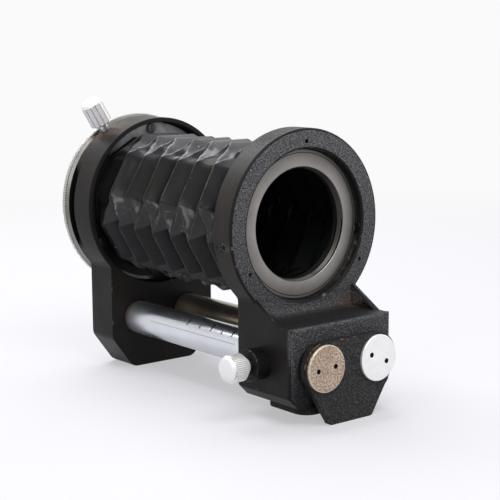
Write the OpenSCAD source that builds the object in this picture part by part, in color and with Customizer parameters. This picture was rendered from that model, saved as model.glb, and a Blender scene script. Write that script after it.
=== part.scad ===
// Macro bellows unit: two cast standards joined by a pleated bellows on a pair of guide rods.
// Millimetres. The origin is the centre of the rear standard's foot, +Z is up, and -Y looks at the subject.

/* [Layout] */
// Height of the optical axis above the table
axis_z = 67.6; // [62:0.2:75]
// Distance between the standards' facing sides at full extension
standards_gap = 81; // [60:1:81]
// Bellows left when the front standard is pushed all the way back
bellows_stack = 15.4; // [15:0.2:22]

/* [Guide rods] */
// Radius of each guide rod
rod_r = 6.65; // [5.5:0.05:7.5]
// Half the distance between the rods
rod_x = 12.55; // [11.5:0.05:13.2]
// Height of the rods' axes
rod_z = 21; // [19:0.5:24]
// Depth of the rods' sockets in the rear standard
rod_socket = 9; // [6:0.5:10]
// Radius of the screws that hold the rods from behind
rod_screw_r = 2; // [1.5:0.1:2.2]
// Head radius of these screws
rod_screw_head_r = 3.6; // [3:0.1:4]
// Length of the screws' thread inside the rods
rod_screw_grip = 9; // [6:0.5:14]

/* [Rear standard] */
// Outer radius of the rear ring
rear_ring_r = 35.3; // [34.8:0.1:36]
// Depth of the rear standard along the axis
rear_depth = 15.6; // [15:0.2:17]
// Distance from the front of the rear standard to the origin
origin_setback = 7; // [6.8:0.1:8]
// Half width of the rear leg
rear_leg_half = 25.4; // [24:0.1:27]
// Half width of the flat under the rear leg
rear_foot_half = 15.5; // [13:0.5:17]
// Height at which the leg's bottom corners are cut off
rear_corner_z = 15; // [13.5:0.5:17]
// Radius on the leg's corners
rear_corner_r = 5; // [3:0.5:6]
// Radius of the bellows hood
hood_r = 33.3; // [33.15:0.05:33.8]
// Depth of the bellows hood
hood_depth = 7; // [6:0.5:8]
// Distance from the axis to the finger flats behind the ring
flat_x = 31; // [30.5:0.1:33]
// Depth of the finger flats, from behind
flat_depth = 4; // [2:0.5:4.5]

/* [Front standard] */
// Outer radius of the front ring
front_ring_r = 35.15; // [34.8:0.05:36]
// Thickness of the front ring
front_depth = 10.2; // [10:0.1:13]
// Half width of the block
block_half = 24.4; // [23.5:0.1:25.2]
// How far the block stands out in front of the ring
block_reach = 18.8; // [17:0.2:24]
// Height of the shelf on the block
shelf_z = 35.4; // [34:0.2:38]
// Height of the block's underside
block_z = 6.3; // [5:0.1:8]
// Size of the chamfers along the block's bottom
block_chamfer = 4.2; // [2:0.2:5]
// Radius on the block's front edges
block_edge_r = 1.6; // [0.5:0.1:2.5]
// Thickness of the two side gussets
gusset_t = 2.4; // [1.5:0.1:4]
// Reach of the gussets along the shelf
gusset_reach = 13.5; // [8:0.5:15]
// Rise of the gussets up the ring
gusset_rise = 8; // [4:0.5:8.5]
// Radius of the fillets where a ring meets its leg
neck_fillet = 3; // [1.5:0.5:4]

/* [Foot] */
// Half width of the foot pad
foot_half = 18; // [14:0.5:20]
// Height of the foot pad's face
foot_z = 3.3; // [2.5:0.1:4.5]
// Radius on the foot pad's front corners
foot_corner_r = 6; // [2:0.5:8]
// How far the foot pad stands out in front of the block
foot_lip = 0.7; // [0.2:0.1:1.2]
// Radius of the tripod thread
tripod_r = 2.55; // [2.4:0.05:4]
// Wall of the tripod bush
tripod_wall = 2.4; // [1.5:0.1:2.8]
// Length of the tripod bush
tripod_length = 9; // [6:0.5:9]

/* [Lens ring] */
// Radius of the lens thread
lens_r = 20.45; // [19.5:0.05:20.6]
// Radius of the recess that takes the lens ring
recess_r = 27.66; // [27.2:0.02:28.2]
// Empty depth of that recess
recess_depth = 3.4; // [2.5:0.1:3.8]
// Thickness of the lens ring's flange
lens_flange_t = 3.4; // [3.2:0.1:3.6]
// Depth of the lens ring's barrel behind the flange
lens_barrel = 2.4; // [1:0.1:2.8]
// Radius of the lens ring's barrel
lens_barrel_r = 23.9; // [22:0.1:24.2]
// Chamfer at the mouth of the lens thread
lens_chamfer = 0.6; // [0.3:0.1:1]
// Radius of the two screws that hold the lens ring
lens_screw_r = 1.5; // [1:0.1:1.55]
// Angle of these screws below the horizontal
lens_screw_drop = 8.8; // [5:0.2:15]

/* [Bellows] */
// Radius through the corners of the outward folds
fold_r = 30; // [29.6:0.1:30.6]
// Half the angle that one flat side spans
fold_half_angle = 17; // [13:0.5:19]
// Depth of the pleats
pleat_depth = 4.6; // [3:0.1:4.8]
// Number of half pleats along the bellows
half_pleats = 15; // [11:2:21]
// Thickness of the bellows cloth across the axis
cloth_t = 1; // [0.8:0.1:1.2]
// Thickness of the plates that hold the bellows
frame_t = 1; // [0.8:0.1:1.1]
// Distance from the lens recess's wall out to the screws that hold the bellows plates
frame_pitch_gap = 2.84; // [2.6:0.02:3.2]
// Radius of these screws
frame_screw_r = 0.75; // [0.6:0.05:0.8]
// Head radius of these screws
frame_head_r = 2; // [1.5:0.1:2.1]

/* [Camera ring] */
// Outer radius of the knurled ring
knurl_r = 36.4; // [36:0.1:38]
// Width of the knurled ring
knurl_w = 3.7; // [3:0.1:5]
// Number of teeth around the knurled ring
knurl_teeth = 150; // [90:10:180]
// Radius of the ring's sleeve
sleeve_r = 22.5; // [22:0.1:23]
// Radius of the light path through the camera ring
throat_r = 19; // [17:0.5:19.2]
// Radius of the camera thread
camera_r = 20.9; // [20.5:0.05:21]
// Length of the camera thread
camera_thread_l = 5; // [3:0.5:8]
// Radius of the camera thread's flange
camera_flange_r = 27; // [26.2:0.2:30]
// Thickness of that flange
camera_flange_t = 1.6; // [1.4:0.1:2.5]
// Radius of the ring that keeps the sleeve in the standard
retainer_r = 25.2; // [24.4:0.1:25.3]

/* [Clamp] */
// Distance of the clamp's axis behind the block's front
clamp_setback = 15.6; // [12:0.2:19]
// Radius of the clamp bush
clamp_bush_r = 5.75; // [5:0.05:7]
// How far the clamp bush stands out
clamp_bush_l = 6; // [3:0.5:8]
// Radius of the clamp screw
clamp_screw_r = 2; // [1.6:0.1:2.2]
// Radius of the clamp knob
clamp_knob_r = 5; // [4:0.1:8]
// Length of the clamp knob
clamp_knob_l = 7.1; // [5:0.1:10]
// Gap between the clamp bush and its knob
clamp_neck = 3; // [1:0.2:4]
// Number of teeth around the clamp knob
clamp_teeth = 44; // [20:2:48]

/* [Ring lock] */
// Angle of the ring lock to the left of straight up
lock_angle = 31.3; // [20:0.1:45]
// Distance of the lock's axis in front of the standard's back
lock_setback = 2.6; // [2.2:0.1:3.2]
// Radius of the lock screw
lock_screw_r = 1.5; // [1:0.1:1.6]
// Radius of the lock knob
lock_knob_r = 4.5; // [3:0.1:5]
// Length of the lock knob
lock_knob_l = 11; // [7:0.5:14]
// Length of the bare neck under the lock knob
lock_neck = 2.6; // [1.5:0.1:4]
// Number of teeth around the lock knob
lock_teeth = 14; // [12:2:30]

/* [End plate] */
// Thickness of the end plate
plate_t = 2.5; // [2:0.1:4]
// Gap between the block and the end plate at full extension
plate_gap = 2.6; // [2:0.1:4]
// Radius of the end plate round the rods
plate_end_r = 9.4; // [9.2:0.1:11]
// Half width of the end plate's bottom edge
plate_foot_half = 11; // [8:0.5:14]
// Radius on the end plate's bottom corners
plate_corner_r = 2; // [1:0.5:3]
// Radius of the rod caps
cap_r = 8.5; // [8:0.1:9]
// Thickness of the rod caps
cap_t = 1.2; // [0.8:0.1:2]
// Distance between a cap's two spanner holes
cap_hole_pitch = 8; // [6:0.5:10]
// Radius of the spanner holes
cap_hole_r = 0.9; // [0.5:0.1:1]

/* [Hidden] */
$fn = 96;

// Clearances and small allowances
run_fit = 0.05;
seat_fit = 0.02;
stop_gap = 0.3;
pad_gap = 0.35;
end_float = 0.1;
plate_fit = 0.2;
screw_fit = 0.05;
cut = 1;

// Places along the axis
rear_back_y = rear_depth - origin_setback;
rear_front_y = -origin_setback;
disc_front_y = rear_front_y + hood_depth;
disc_t = 0.6;
web_front_y = disc_front_y + disc_t;
front_back_y = rear_front_y - standards_gap;
front_face_y = front_back_y - front_depth;
block_front_y = front_face_y - block_reach;
plate_back_y = block_front_y - plate_gap;
plate_front_y = plate_back_y - plate_t;
lens_front_y = front_face_y + recess_depth;
lens_seat_y = lens_front_y + lens_flange_t;
front_web_t = 1.8;
plate_seat_y = lens_seat_y + front_web_t;
front_frame_t = 1.2;
bellows_front_y = plate_seat_y + front_frame_t;
bellows_back_y = disc_front_y - frame_t;
bellows_length = bellows_back_y - bellows_front_y;
slide_travel = bellows_length - bellows_stack;

// Bellows section
flat_sides = 6;
side_step = 360 / flat_sides;
fold_apothem = fold_r * cos(fold_half_angle);
fold_half = fold_r * sin(fold_half_angle);
folds = round(half_pleats);
mid_apothem = fold_apothem - pleat_depth / 2;
frame_pitch_r = recess_r + frame_pitch_gap;
frame_edge = 0.8;
frame_bore_r = retainer_r + 2 * plate_fit;

// Camera ring
knurl_front_y = rear_back_y + end_float;
knurl_back_y = knurl_front_y + knurl_w;
flange_back_y = knurl_back_y + camera_flange_t;
thread_end_y = flange_back_y + camera_thread_l;
retainer_t = 1.1;
retainer_back_y = web_front_y - end_float;
sleeve_front_y = retainer_back_y - retainer_t;
knurl_depth = 0.45;
camera_screw_r = 1;
camera_head_r = 1.8;
camera_head_t = 1.1;
camera_screw_l = 3.6;
camera_screw_end_y = flange_back_y - camera_screw_l;
camera_pitch_r = (camera_r + camera_flange_r) / 2;

// Screw details
slot_w = 0.5;
slot_depth = 0.35;
frame_head_t = 0.9;
rear_frame_screw_l = 3.8;
rear_frame_screw_end_y = disc_front_y + rear_frame_screw_l;
front_screw_sunk = 1.4;
lens_screw_sunk = 0.5;
lens_ring_gap = 0.31;
lens_hub_fit = 0.1;
ring_screws = 3;
rod_screw_recess = 2.4;
rod_screw_head_t = 1.9;

// Foot
tripod_y = block_front_y + block_reach / 2;

// Clamp
clamp_y = block_front_y + clamp_setback;
rod_side_x = -rod_x - rod_r;
clamp_wall = block_half + rod_side_x;
spigot_step = 1.75;
spigot_r = clamp_bush_r - spigot_step;
spigot_share = 6 / 13;
spigot_l = clamp_wall * spigot_share;
spigot_end_x = -block_half + spigot_l;
spigot_gap = 0.55;
pad_wall = 0.45;
pad_r = clamp_screw_r + pad_wall;
pad_t = clamp_wall - spigot_l - spigot_gap - pad_gap;
pad_face_x = rod_side_x - pad_gap;
pad_back_x = pad_face_x - pad_t;
tip_r = clamp_screw_r / 2;
tip_share = 0.45;
tip_l = pad_t * tip_share;
bush_end_x = -block_half - clamp_bush_l;
knob_face_x = bush_end_x - clamp_neck;
clamp_collar_r = 3.2;
clamp_collar_l = clamp_neck * 2 / 3;
clamp_seat_l = clamp_knob_l * 2 / 3;

// Ring lock
lock_y = rear_back_y - lock_setback;
lock_pad_face = sleeve_r + pad_gap;
lock_pad_t = 1.6;
lock_tip_r = lock_screw_r / 2;
lock_tip_l = lock_pad_t / 2;
lock_gap = 0.7;
lock_neck_start = rear_ring_r + lock_gap;
lock_neck_step = 0.4;
lock_neck_r = lock_screw_r + lock_neck_step;
lock_knob_start = lock_neck_start + lock_neck;
lock_seat_l = lock_knob_l * 2 / 3;

// End plate
plate_top_z = rod_z + plate_end_r;
boss_wall = 1.75;
boss_r = rod_r + boss_wall;
boss_l = plate_gap - stop_gap;
cap_stud_r = 2.5;
cap_stud_l = 10;
cap_edge = 0.25;
cap_left_angle = 5;
cap_right_angle = -23.6;
knob_edge = 0.8;
knob_tooth = 0.32;
knob_dome = 0.35;
core_step = 0.05;

// Shared shapes

// Extrudes an outline drawn as (x, z) between two places along Y.
module slab(y0, y1) {
    translate([0, y1, 0]) rotate([90, 0, 0]) linear_extrude(y1 - y0) children();
}

// Extrudes an outline drawn as (y, z) between two places along X.
module rib(x0, x1) {
    translate([x0, 0, 0]) rotate([90, 0, 90]) linear_extrude(x1 - x0) children();
}

// A cylinder along Y.
module bar(x, z, r, y0, y1) {
    translate([x, y1, z]) rotate([90, 0, 0]) cylinder(r = r, h = y1 - y0);
}

// A ring round the optical axis.
module collar(outer, inner, y0, y1) {
    difference() {
        bar(0, axis_z, outer, y0, y1);
        bar(0, axis_z, inner, y0 - cut, y1 + cut);
    }
}

// Turns an outline of (radius, y) points round the optical axis.
module turned(points) {
    translate([0, 0, axis_z]) rotate([-90, 0, 0]) rotate_extrude() polygon(points);
}

// Places something on the optical axis that points outwards at an angle from +X.
module spoke(angle, y) {
    translate([0, y, axis_z]) rotate([0, 90 - angle, 0]) children();
}

// Places something on a circle round the optical axis, once for each screw.
module on_screw_circle(r, first = 90) {
    for (i = [0:ring_screws - 1])
        let (a = first + i * 360 / ring_screws)
            translate([r * cos(a), 0, axis_z + r * sin(a)]) children();
}

// A slotted screw along Y, with its head's free face at y0 and its tip at y1.
module slotted_screw(r, head_r, head_t, y0, y1) {
    facing = y1 > y0 ? 1 : -1;
    head_end = y0 + facing * head_t;
    difference() {
        union() {
            bar(0, 0, head_r, min(y0, head_end), max(y0, head_end));
            bar(0, 0, r, min(head_end, y1), max(head_end, y1));
        }
        translate([-slot_w / 2, y0 - slot_depth, -head_r - cut])
            cube([slot_w, 2 * slot_depth, 2 * (head_r + cut)]);
    }
}

// The two ends of the line that touches two circles, on the left of the way from the first to the second.
function touching(c0, r0, c1, r1) =
    let (
        d = norm(c1 - c0),
        u = (c1 - c0) / d,
        n = [-u[1], u[0]],
        s = (r0 - r1) / d,
        w = n * sqrt(1 - s * s) + u * s
    ) [c0 + r0 * w, c1 + r1 * w];

// Closes the right half of an outline with its mirror image.
function with_mirror(points) =
    let (last = len(points) - 1)
    concat(points, [for (i = [0:last]) [-points[last - i][0], points[last - i][1]]]);

module both_sides() {
    children();
    mirror([1, 0, 0]) children();
}

// The fillet between a ring and the side of its leg, drawn as (x, z).
module neck_fillet_shape(ring_r, half) {
    rise = sqrt(pow(ring_r + neck_fillet, 2) - pow(half + neck_fillet, 2));
    centre = [half + neck_fillet, axis_z - rise];
    touch = [half + neck_fillet, -rise] * ring_r / (ring_r + neck_fillet) + [0, axis_z];
    difference() {
        polygon([[half - cut, centre[1]], centre, touch, [half - cut, touch[1]]]);
        translate(centre) circle(neck_fillet);
    }
}

// The corner that rounding an edge takes away, as a profile with the edge at the origin.
module edge_profile(r) {
    difference() {
        translate([-cut, -cut]) square(r + cut);
        translate([r, r]) circle(r);
    }
}

function knurl_outline(r, depth, teeth) = [
    for (i = [0:2 * teeth - 1])
        let (q = i % 2 == 0 ? r : r - depth) [q * cos(i * 180 / teeth), q * sin(i * 180 / teeth)]
];

// A knurled grip along Z that starts at 0, with its teeth stopping below a turned end and a low dome.
module grip(r, length, teeth) {
    core = r - knob_tooth - core_step;
    linear_extrude(length - knob_edge) polygon(knurl_outline(r, knob_tooth, teeth));
    rotate_extrude() polygon([
        [0, 0], [core, 0], [core, length - knob_edge], [r - knob_edge, length], [0, length + knob_dome]
    ]);
}

// Fixed frame

module rear_outline() {
    low = [rear_foot_half - rear_corner_r / 2, rear_corner_r];
    high = [rear_leg_half - rear_corner_r, rear_corner_z];
    edge = touching(high, rear_corner_r, low, rear_corner_r);
    translate([0, axis_z]) circle(rear_ring_r);
    polygon(with_mirror([[low[0], 0], edge[1], edge[0], [rear_leg_half, high[1]], [rear_leg_half, axis_z]]));
    both_sides() {
        translate(low) circle(rear_corner_r);
        translate(high) circle(rear_corner_r);
        neck_fillet_shape(rear_ring_r, rear_leg_half);
    }
}

module finger_flats() {
    both_sides() slab(rear_back_y - flat_depth, rear_back_y + cut)
        translate([flat_x, axis_z - rear_ring_r]) square([rear_ring_r, 2 * rear_ring_r]);
}

module rear_standard() {
    socket_end_y = rear_front_y + rod_socket;
    screw_seat_y = rear_back_y - rod_screw_recess;
    color("#1d1d20") difference() {
        slab(rear_front_y, rear_back_y) rear_outline();
        bar(0, axis_z, hood_r, rear_front_y - cut, web_front_y);
        bar(0, axis_z, sleeve_r + run_fit, rear_front_y, rear_back_y + cut);
        finger_flats();
        for (side = [-1, 1]) {
            bar(side * rod_x, rod_z, rod_r + seat_fit, rear_front_y - cut, socket_end_y);
            bar(side * rod_x, rod_z, rod_screw_r + screw_fit, rear_front_y, rear_back_y + cut);
            bar(side * rod_x, rod_z, rod_screw_head_r + plate_fit, screw_seat_y, rear_back_y + cut);
        }
        on_screw_circle(frame_pitch_r)
            bar(0, 0, frame_screw_r + screw_fit, web_front_y - cut, rear_frame_screw_end_y + plate_fit);
        spoke(90 + lock_angle, lock_y) cylinder(r = lock_screw_r + run_fit, h = rear_ring_r + cut);
    }
}

module rod(side) {
    end_y = rear_front_y + rod_socket;
    color("#c9ccd2") difference() {
        bar(side * rod_x, rod_z, rod_r, plate_back_y, end_y);
        bar(side * rod_x, rod_z, cap_stud_r + seat_fit,
            plate_back_y - cut, plate_front_y + cap_stud_l + plate_fit);
        bar(side * rod_x, rod_z, rod_screw_r + seat_fit, end_y - rod_screw_grip - plate_fit, end_y + cut);
    }
}

module rod_left() {
    rod(-1);
}

module rod_right() {
    rod(1);
}

module rear_rod_screws() {
    end_y = rear_front_y + rod_socket;
    head_y = rear_back_y - rod_screw_recess + rod_screw_head_t;
    color("#8d8f94") for (side = [-1, 1])
        translate([side * rod_x, 0, rod_z])
            slotted_screw(rod_screw_r, rod_screw_head_r, rod_screw_head_t,
                head_y, end_y - rod_screw_grip);
}

module plate_outline() {
    corner = [plate_foot_half - plate_corner_r, plate_corner_r];
    edge = touching([rod_x, rod_z], plate_end_r, corner, plate_corner_r);
    polygon(with_mirror([[corner[0], 0], edge[1], edge[0], [rod_x, plate_top_z]]));
    both_sides() {
        translate(corner) circle(plate_corner_r);
        translate([rod_x, rod_z]) circle(plate_end_r);
    }
}

module end_plate() {
    color("#202022") difference() {
        union() {
            slab(plate_front_y, plate_back_y) plate_outline();
            for (side = [-1, 1])
                bar(side * rod_x, rod_z, boss_r, plate_back_y, plate_back_y + boss_l);
        }
        for (side = [-1, 1]) {
            bar(side * rod_x, rod_z, cap_stud_r + screw_fit, plate_front_y - cut, plate_back_y + cut);
            bar(side * rod_x, rod_z, rod_r + seat_fit, plate_back_y, plate_back_y + boss_l + cut);
        }
    }
}

module rod_cap(side, hole_angle) {
    difference() {
        translate([side * rod_x, plate_front_y, rod_z]) rotate([90, 0, 0]) rotate_extrude() polygon([
            [0, -cap_stud_l], [cap_stud_r, -cap_stud_l], [cap_stud_r, 0], [cap_r, 0],
            [cap_r, cap_t - cap_edge], [cap_r - cap_edge, cap_t], [0, cap_t]
        ]);
        for (end = [-1, 1])
            bar(side * rod_x + end * cap_hole_pitch / 2 * cos(hole_angle),
                rod_z + end * cap_hole_pitch / 2 * sin(hole_angle),
                cap_hole_r, plate_front_y - cap_t - cut, plate_front_y - plate_fit);
    }
}

module rod_cap_left() {
    color("#8a7562") rod_cap(-1, cap_left_angle);
}

module rod_cap_right() {
    color("#d5d6d8") rod_cap(1, cap_right_angle);
}

module rear_disc() {
    color("#8b8c8e") difference() {
        collar(hood_r - plate_fit, frame_bore_r, disc_front_y, web_front_y);
        on_screw_circle(frame_pitch_r)
            bar(0, 0, frame_screw_r + screw_fit, disc_front_y - cut, web_front_y + cut);
    }
}

// Bellows

// The twelve corners of the bellows' section, drawn as (x, z), with alternate sides at two distances.
function section(apothem_even, apothem_odd) = [
    for (k = [0:flat_sides - 1], side = [-1, 1])
        let (
            a = 90 + k * side_step,
            q = k % 2 == 0 ? apothem_even : apothem_odd
        ) [q * cos(a) - side * fold_half * sin(a), q * sin(a) + side * fold_half * cos(a)]
];

// The even sides fold outwards on even rings, and the odd sides on odd rings. Both ends are level.
function fold_ring(i, inset) =
    let (
        level = i == 0 || i == folds,
        out = fold_apothem - inset,
        in = out - pleat_depth,
        mid = mid_apothem - inset,
        even = level ? mid : i % 2 == 0 ? out : in,
        odd = level ? mid : i % 2 == 0 ? in : out,
        y = bellows_front_y + i * bellows_length / folds
    ) [for (p = section(even, odd)) [p[0], y, axis_z + p[1]]];

// Two triangles of the skin between ring i and the next, split from outward corner to outward corner.
function fold_faces(i, j, count, base) =
    let (
        a = base + i * count + j,
        b = base + i * count + (j + 1) % count,
        c = a + count,
        d = b + count,
        corner = j % 2 == 1,
        even_side = floor(j / 2) % 2 == 0,
        from_a = corner ? (i % 2 == 0) == even_side : true
    ) from_a ? [[a, b, d], [a, d, c]] : [[a, b, c], [b, d, c]];

module bellows() {
    count = 2 * flat_sides;
    rings = folds + 1;
    outer = [for (i = [0:folds]) each fold_ring(i, 0)];
    inner = [for (i = [0:folds]) each fold_ring(i, cloth_t)];
    base = rings * count;
    skin = [for (i = [0:folds - 1], j = [0:count - 1]) each fold_faces(i, j, count, 0)];
    lining = [
        for (i = [0:folds - 1], j = [0:count - 1], f = fold_faces(i, j, count, base)) [f[2], f[1], f[0]]
    ];
    front = [
        for (j = [0:count - 1])
            let (k = (j + 1) % count) each [[j, base + j, base + k], [j, base + k, k]]
    ];
    last = folds * count;
    back = [
        for (j = [0:count - 1])
            let (k = (j + 1) % count) each
            [[last + j, base + last + k, base + last + j], [last + j, last + k, base + last + k]]
    ];
    color("#17171a") polyhedron(points = concat(outer, inner), faces = concat(skin, lining, front, back));
}

module bellows_rear_frame() {
    apothem = mid_apothem + frame_edge;
    color("#141416") difference() {
        slab(bellows_back_y, disc_front_y) translate([0, axis_z]) polygon(section(apothem, apothem));
        bar(0, axis_z, frame_bore_r, bellows_back_y - cut, disc_front_y + cut);
    }
}

module rear_frame_screws() {
    color("#77787b") on_screw_circle(frame_pitch_r)
        slotted_screw(frame_screw_r, frame_head_r, frame_head_t,
            disc_front_y - frame_head_t, rear_frame_screw_end_y);
}

// Front standard

module leg_outline(top_z) {
    polygon([
        [-block_half, top_z], [-block_half, block_z + block_chamfer], [-block_half + block_chamfer, block_z],
        [block_half - block_chamfer, block_z], [block_half, block_z + block_chamfer], [block_half, top_z]
    ]);
}

module gussets() {
    both_sides() rib(block_half - gusset_t, block_half) polygon([
        [front_face_y + cut, shelf_z - cut], [front_face_y - gusset_reach, shelf_z - cut],
        [front_face_y - gusset_reach, shelf_z], [front_face_y, shelf_z + gusset_rise],
        [front_face_y + cut, shelf_z + gusset_rise]
    ]);
}

module foot_pad() {
    front_y = block_front_y - foot_lip;
    inner_half = foot_half - foot_corner_r;
    translate([0, 0, foot_z]) linear_extrude(block_z - foot_z + cut) {
        translate([-foot_half, front_y + foot_corner_r])
            square([2 * foot_half, front_face_y - front_y - foot_corner_r]);
        translate([-inner_half, front_y]) square([2 * inner_half, front_face_y - front_y]);
        both_sides() translate([inner_half, front_y + foot_corner_r]) circle(foot_corner_r);
    }
}

module rounded_block() {
    reach = 2 * block_half;
    difference() {
        slab(block_front_y, front_back_y) leg_outline(shelf_z);
        translate([-block_half, 0, 0]) rib(0, reach)
            translate([block_front_y, shelf_z]) mirror([0, 1]) edge_profile(block_edge_r);
        both_sides() translate([-block_half, block_front_y, 0])
            linear_extrude(2 * shelf_z) edge_profile(block_edge_r);
    }
}

module front_standard() {
    color("#232327") difference() {
        union() {
            slab(front_face_y, front_back_y) {
                translate([0, axis_z]) circle(front_ring_r);
                leg_outline(axis_z);
                both_sides() neck_fillet_shape(front_ring_r, block_half);
            }
            rounded_block();
            gussets();
            foot_pad();
        }
        bar(0, axis_z, recess_r, front_face_y - cut, lens_seat_y);
        bar(0, axis_z, lens_barrel_r + lens_hub_fit, lens_seat_y - cut, front_back_y + cut);
        bar(0, axis_z, hood_r, plate_seat_y, front_back_y + cut);
        for (side = [-1, 1])
            bar(side * rod_x, rod_z, rod_r + run_fit, block_front_y - cut, front_back_y + cut);
        on_screw_circle(frame_pitch_r)
            bar(0, 0, frame_screw_r + screw_fit, front_face_y - cut, front_back_y + cut);
        both_sides() spoke(-lens_screw_drop, lens_seat_y - lens_flange_t / 2)
            cylinder(r = lens_screw_r + screw_fit, h = front_ring_r + cut);
        translate([0, tripod_y, foot_z - cut])
            cylinder(r = tripod_r + tripod_wall + seat_fit, h = tripod_length + cut);
        translate([-rod_x, clamp_y, rod_z]) rotate([0, -90, 0])
            cylinder(r = pad_r + run_fit, h = block_half - rod_x + cut);
        translate([spigot_end_x, clamp_y, rod_z]) rotate([0, -90, 0])
            cylinder(r = spigot_r + seat_fit, h = block_half + spigot_end_x + cut);
    }
}

module lens_ring() {
    outer = recess_r - lens_ring_gap;
    end_y = lens_seat_y + lens_barrel;
    color("#6d6a66") turned([
        [lens_r + lens_chamfer, lens_front_y], [outer, lens_front_y], [outer, lens_seat_y],
        [lens_barrel_r, lens_seat_y], [lens_barrel_r, end_y], [lens_r, end_y],
        [lens_r, lens_front_y + lens_chamfer]
    ]);
}

module lens_ring_screws() {
    start = recess_r - lens_ring_gap + screw_fit;
    length = front_ring_r - lens_screw_sunk - start;
    color("#b08d4f") both_sides() spoke(-lens_screw_drop, lens_seat_y - lens_flange_t / 2)
        translate([0, 0, start]) difference() {
            cylinder(r = lens_screw_r, h = length);
            translate([-slot_w / 2, -2 * lens_screw_r, length - 2 * slot_depth])
                cube([slot_w, 4 * lens_screw_r, 3 * slot_depth]);
        }
}

module bellows_front_frame() {
    color("#141416") difference() {
        collar(hood_r - plate_fit, lens_barrel_r + frame_t, plate_seat_y, bellows_front_y);
        on_screw_circle(frame_pitch_r)
            bar(0, 0, frame_screw_r + screw_fit, plate_seat_y - cut, bellows_front_y + cut);
    }
}

module front_frame_screws() {
    color("#77787b") on_screw_circle(frame_pitch_r)
        slotted_screw(frame_screw_r, frame_head_r, frame_head_t,
            bellows_front_y + frame_head_t, front_face_y + front_screw_sunk);
}

module tripod_bush() {
    color("#9a9ba0") translate([0, tripod_y, foot_z]) difference() {
        cylinder(r = tripod_r + tripod_wall, h = tripod_length);
        translate([0, 0, -cut]) cylinder(r = tripod_r, h = tripod_length + 2 * cut);
    }
}

// Sliding clamp

module clamp_bush() {
    color("#18181a") translate([0, clamp_y, rod_z]) rotate([0, -90, 0]) difference() {
        union() {
            translate([0, 0, block_half]) cylinder(r = clamp_bush_r, h = clamp_bush_l);
            translate([0, 0, -spigot_end_x]) cylinder(r = spigot_r, h = block_half + spigot_end_x);
        }
        translate([0, 0, -spigot_end_x - cut])
            cylinder(r = clamp_screw_r + run_fit, h = clamp_bush_l + block_half);
    }
}

module clamp_pad() {
    color("#b08d4f") translate([0, clamp_y, rod_z]) rotate([0, -90, 0]) difference() {
        translate([0, 0, -pad_face_x]) cylinder(r = pad_r, h = pad_t);
        translate([0, 0, -pad_back_x - tip_l - run_fit]) cylinder(r = tip_r + run_fit, h = tip_l + cut);
    }
}

module clamp_screw() {
    start = -pad_back_x + run_fit;
    color("#8d8f94") translate([0, clamp_y, rod_z]) rotate([0, -90, 0]) {
        translate([0, 0, start - tip_l]) cylinder(r = tip_r, h = tip_l + cut);
        translate([0, 0, start]) cylinder(r = clamp_screw_r, h = -knob_face_x + clamp_seat_l - start);
    }
}

module clamp_knob() {
    color("#d2d3d6") translate([0, clamp_y, rod_z]) rotate([0, -90, 0]) difference() {
        union() {
            translate([0, 0, -knob_face_x - clamp_collar_l]) cylinder(r = clamp_collar_r, h = clamp_collar_l);
            translate([0, 0, -knob_face_x]) grip(clamp_knob_r, clamp_knob_l, clamp_teeth);
        }
        translate([0, 0, -knob_face_x - clamp_collar_l - cut])
            cylinder(r = clamp_screw_r + seat_fit, h = clamp_collar_l + clamp_seat_l + cut);
    }
}

// Camera ring

module mount_ring() {
    color("#c4c5c8") difference() {
        translate([0, knurl_back_y, axis_z]) rotate([90, 0, 0])
            linear_extrude(knurl_w) polygon(knurl_outline(knurl_r, knurl_depth, knurl_teeth));
        bar(0, axis_z, sleeve_r + seat_fit, knurl_front_y - cut, knurl_back_y + cut);
        on_screw_circle(camera_pitch_r)
            bar(0, 0, camera_screw_r + screw_fit, camera_screw_end_y - plate_fit, knurl_back_y + cut);
    }
}

module ring_sleeve() {
    color("#77787b") collar(sleeve_r, throat_r, sleeve_front_y, knurl_back_y);
}

module retaining_ring() {
    color("#3a3a3d") collar(retainer_r, sleeve_r + seat_fit, sleeve_front_y, retainer_back_y);
}

module camera_thread() {
    color("#b9babd") difference() {
        union() {
            bar(0, axis_z, camera_flange_r, knurl_back_y, flange_back_y);
            bar(0, axis_z, camera_r, knurl_back_y, thread_end_y);
        }
        bar(0, axis_z, throat_r, knurl_back_y - cut, thread_end_y + cut);
        on_screw_circle(camera_pitch_r) {
            bar(0, 0, camera_screw_r + screw_fit, knurl_back_y - cut, flange_back_y + cut);
            bar(0, 0, camera_head_r + screw_fit, flange_back_y - camera_head_t, flange_back_y + cut);
        }
    }
}

module camera_thread_screws() {
    color("#77787b") on_screw_circle(camera_pitch_r)
        slotted_screw(camera_screw_r, camera_head_r, camera_head_t, flange_back_y, camera_screw_end_y);
}

// Ring lock

module lock_pad() {
    color("#b08d4f") spoke(90 + lock_angle, lock_y) difference() {
        translate([0, 0, lock_pad_face]) cylinder(r = lock_screw_r, h = lock_pad_t);
        translate([0, 0, lock_pad_face + lock_pad_t - lock_tip_l - run_fit])
            cylinder(r = lock_tip_r + run_fit, h = lock_tip_l + cut);
    }
}

module lock_screw() {
    start = lock_pad_face + lock_pad_t + run_fit;
    color("#8d8f94") spoke(90 + lock_angle, lock_y) {
        translate([0, 0, start - lock_tip_l]) cylinder(r = lock_tip_r, h = lock_tip_l + cut);
        translate([0, 0, start]) cylinder(r = lock_screw_r, h = lock_knob_start + lock_seat_l - start);
        translate([0, 0, lock_neck_start]) cylinder(r = lock_neck_r, h = lock_neck);
    }
}

module lock_knob() {
    color("#d2d3d6") spoke(90 + lock_angle, lock_y) translate([0, 0, lock_knob_start]) difference() {
        grip(lock_knob_r, lock_knob_l, lock_teeth);
        translate([0, 0, -cut]) cylinder(r = lock_screw_r + seat_fit, h = lock_seat_l + cut);
    }
}

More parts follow.
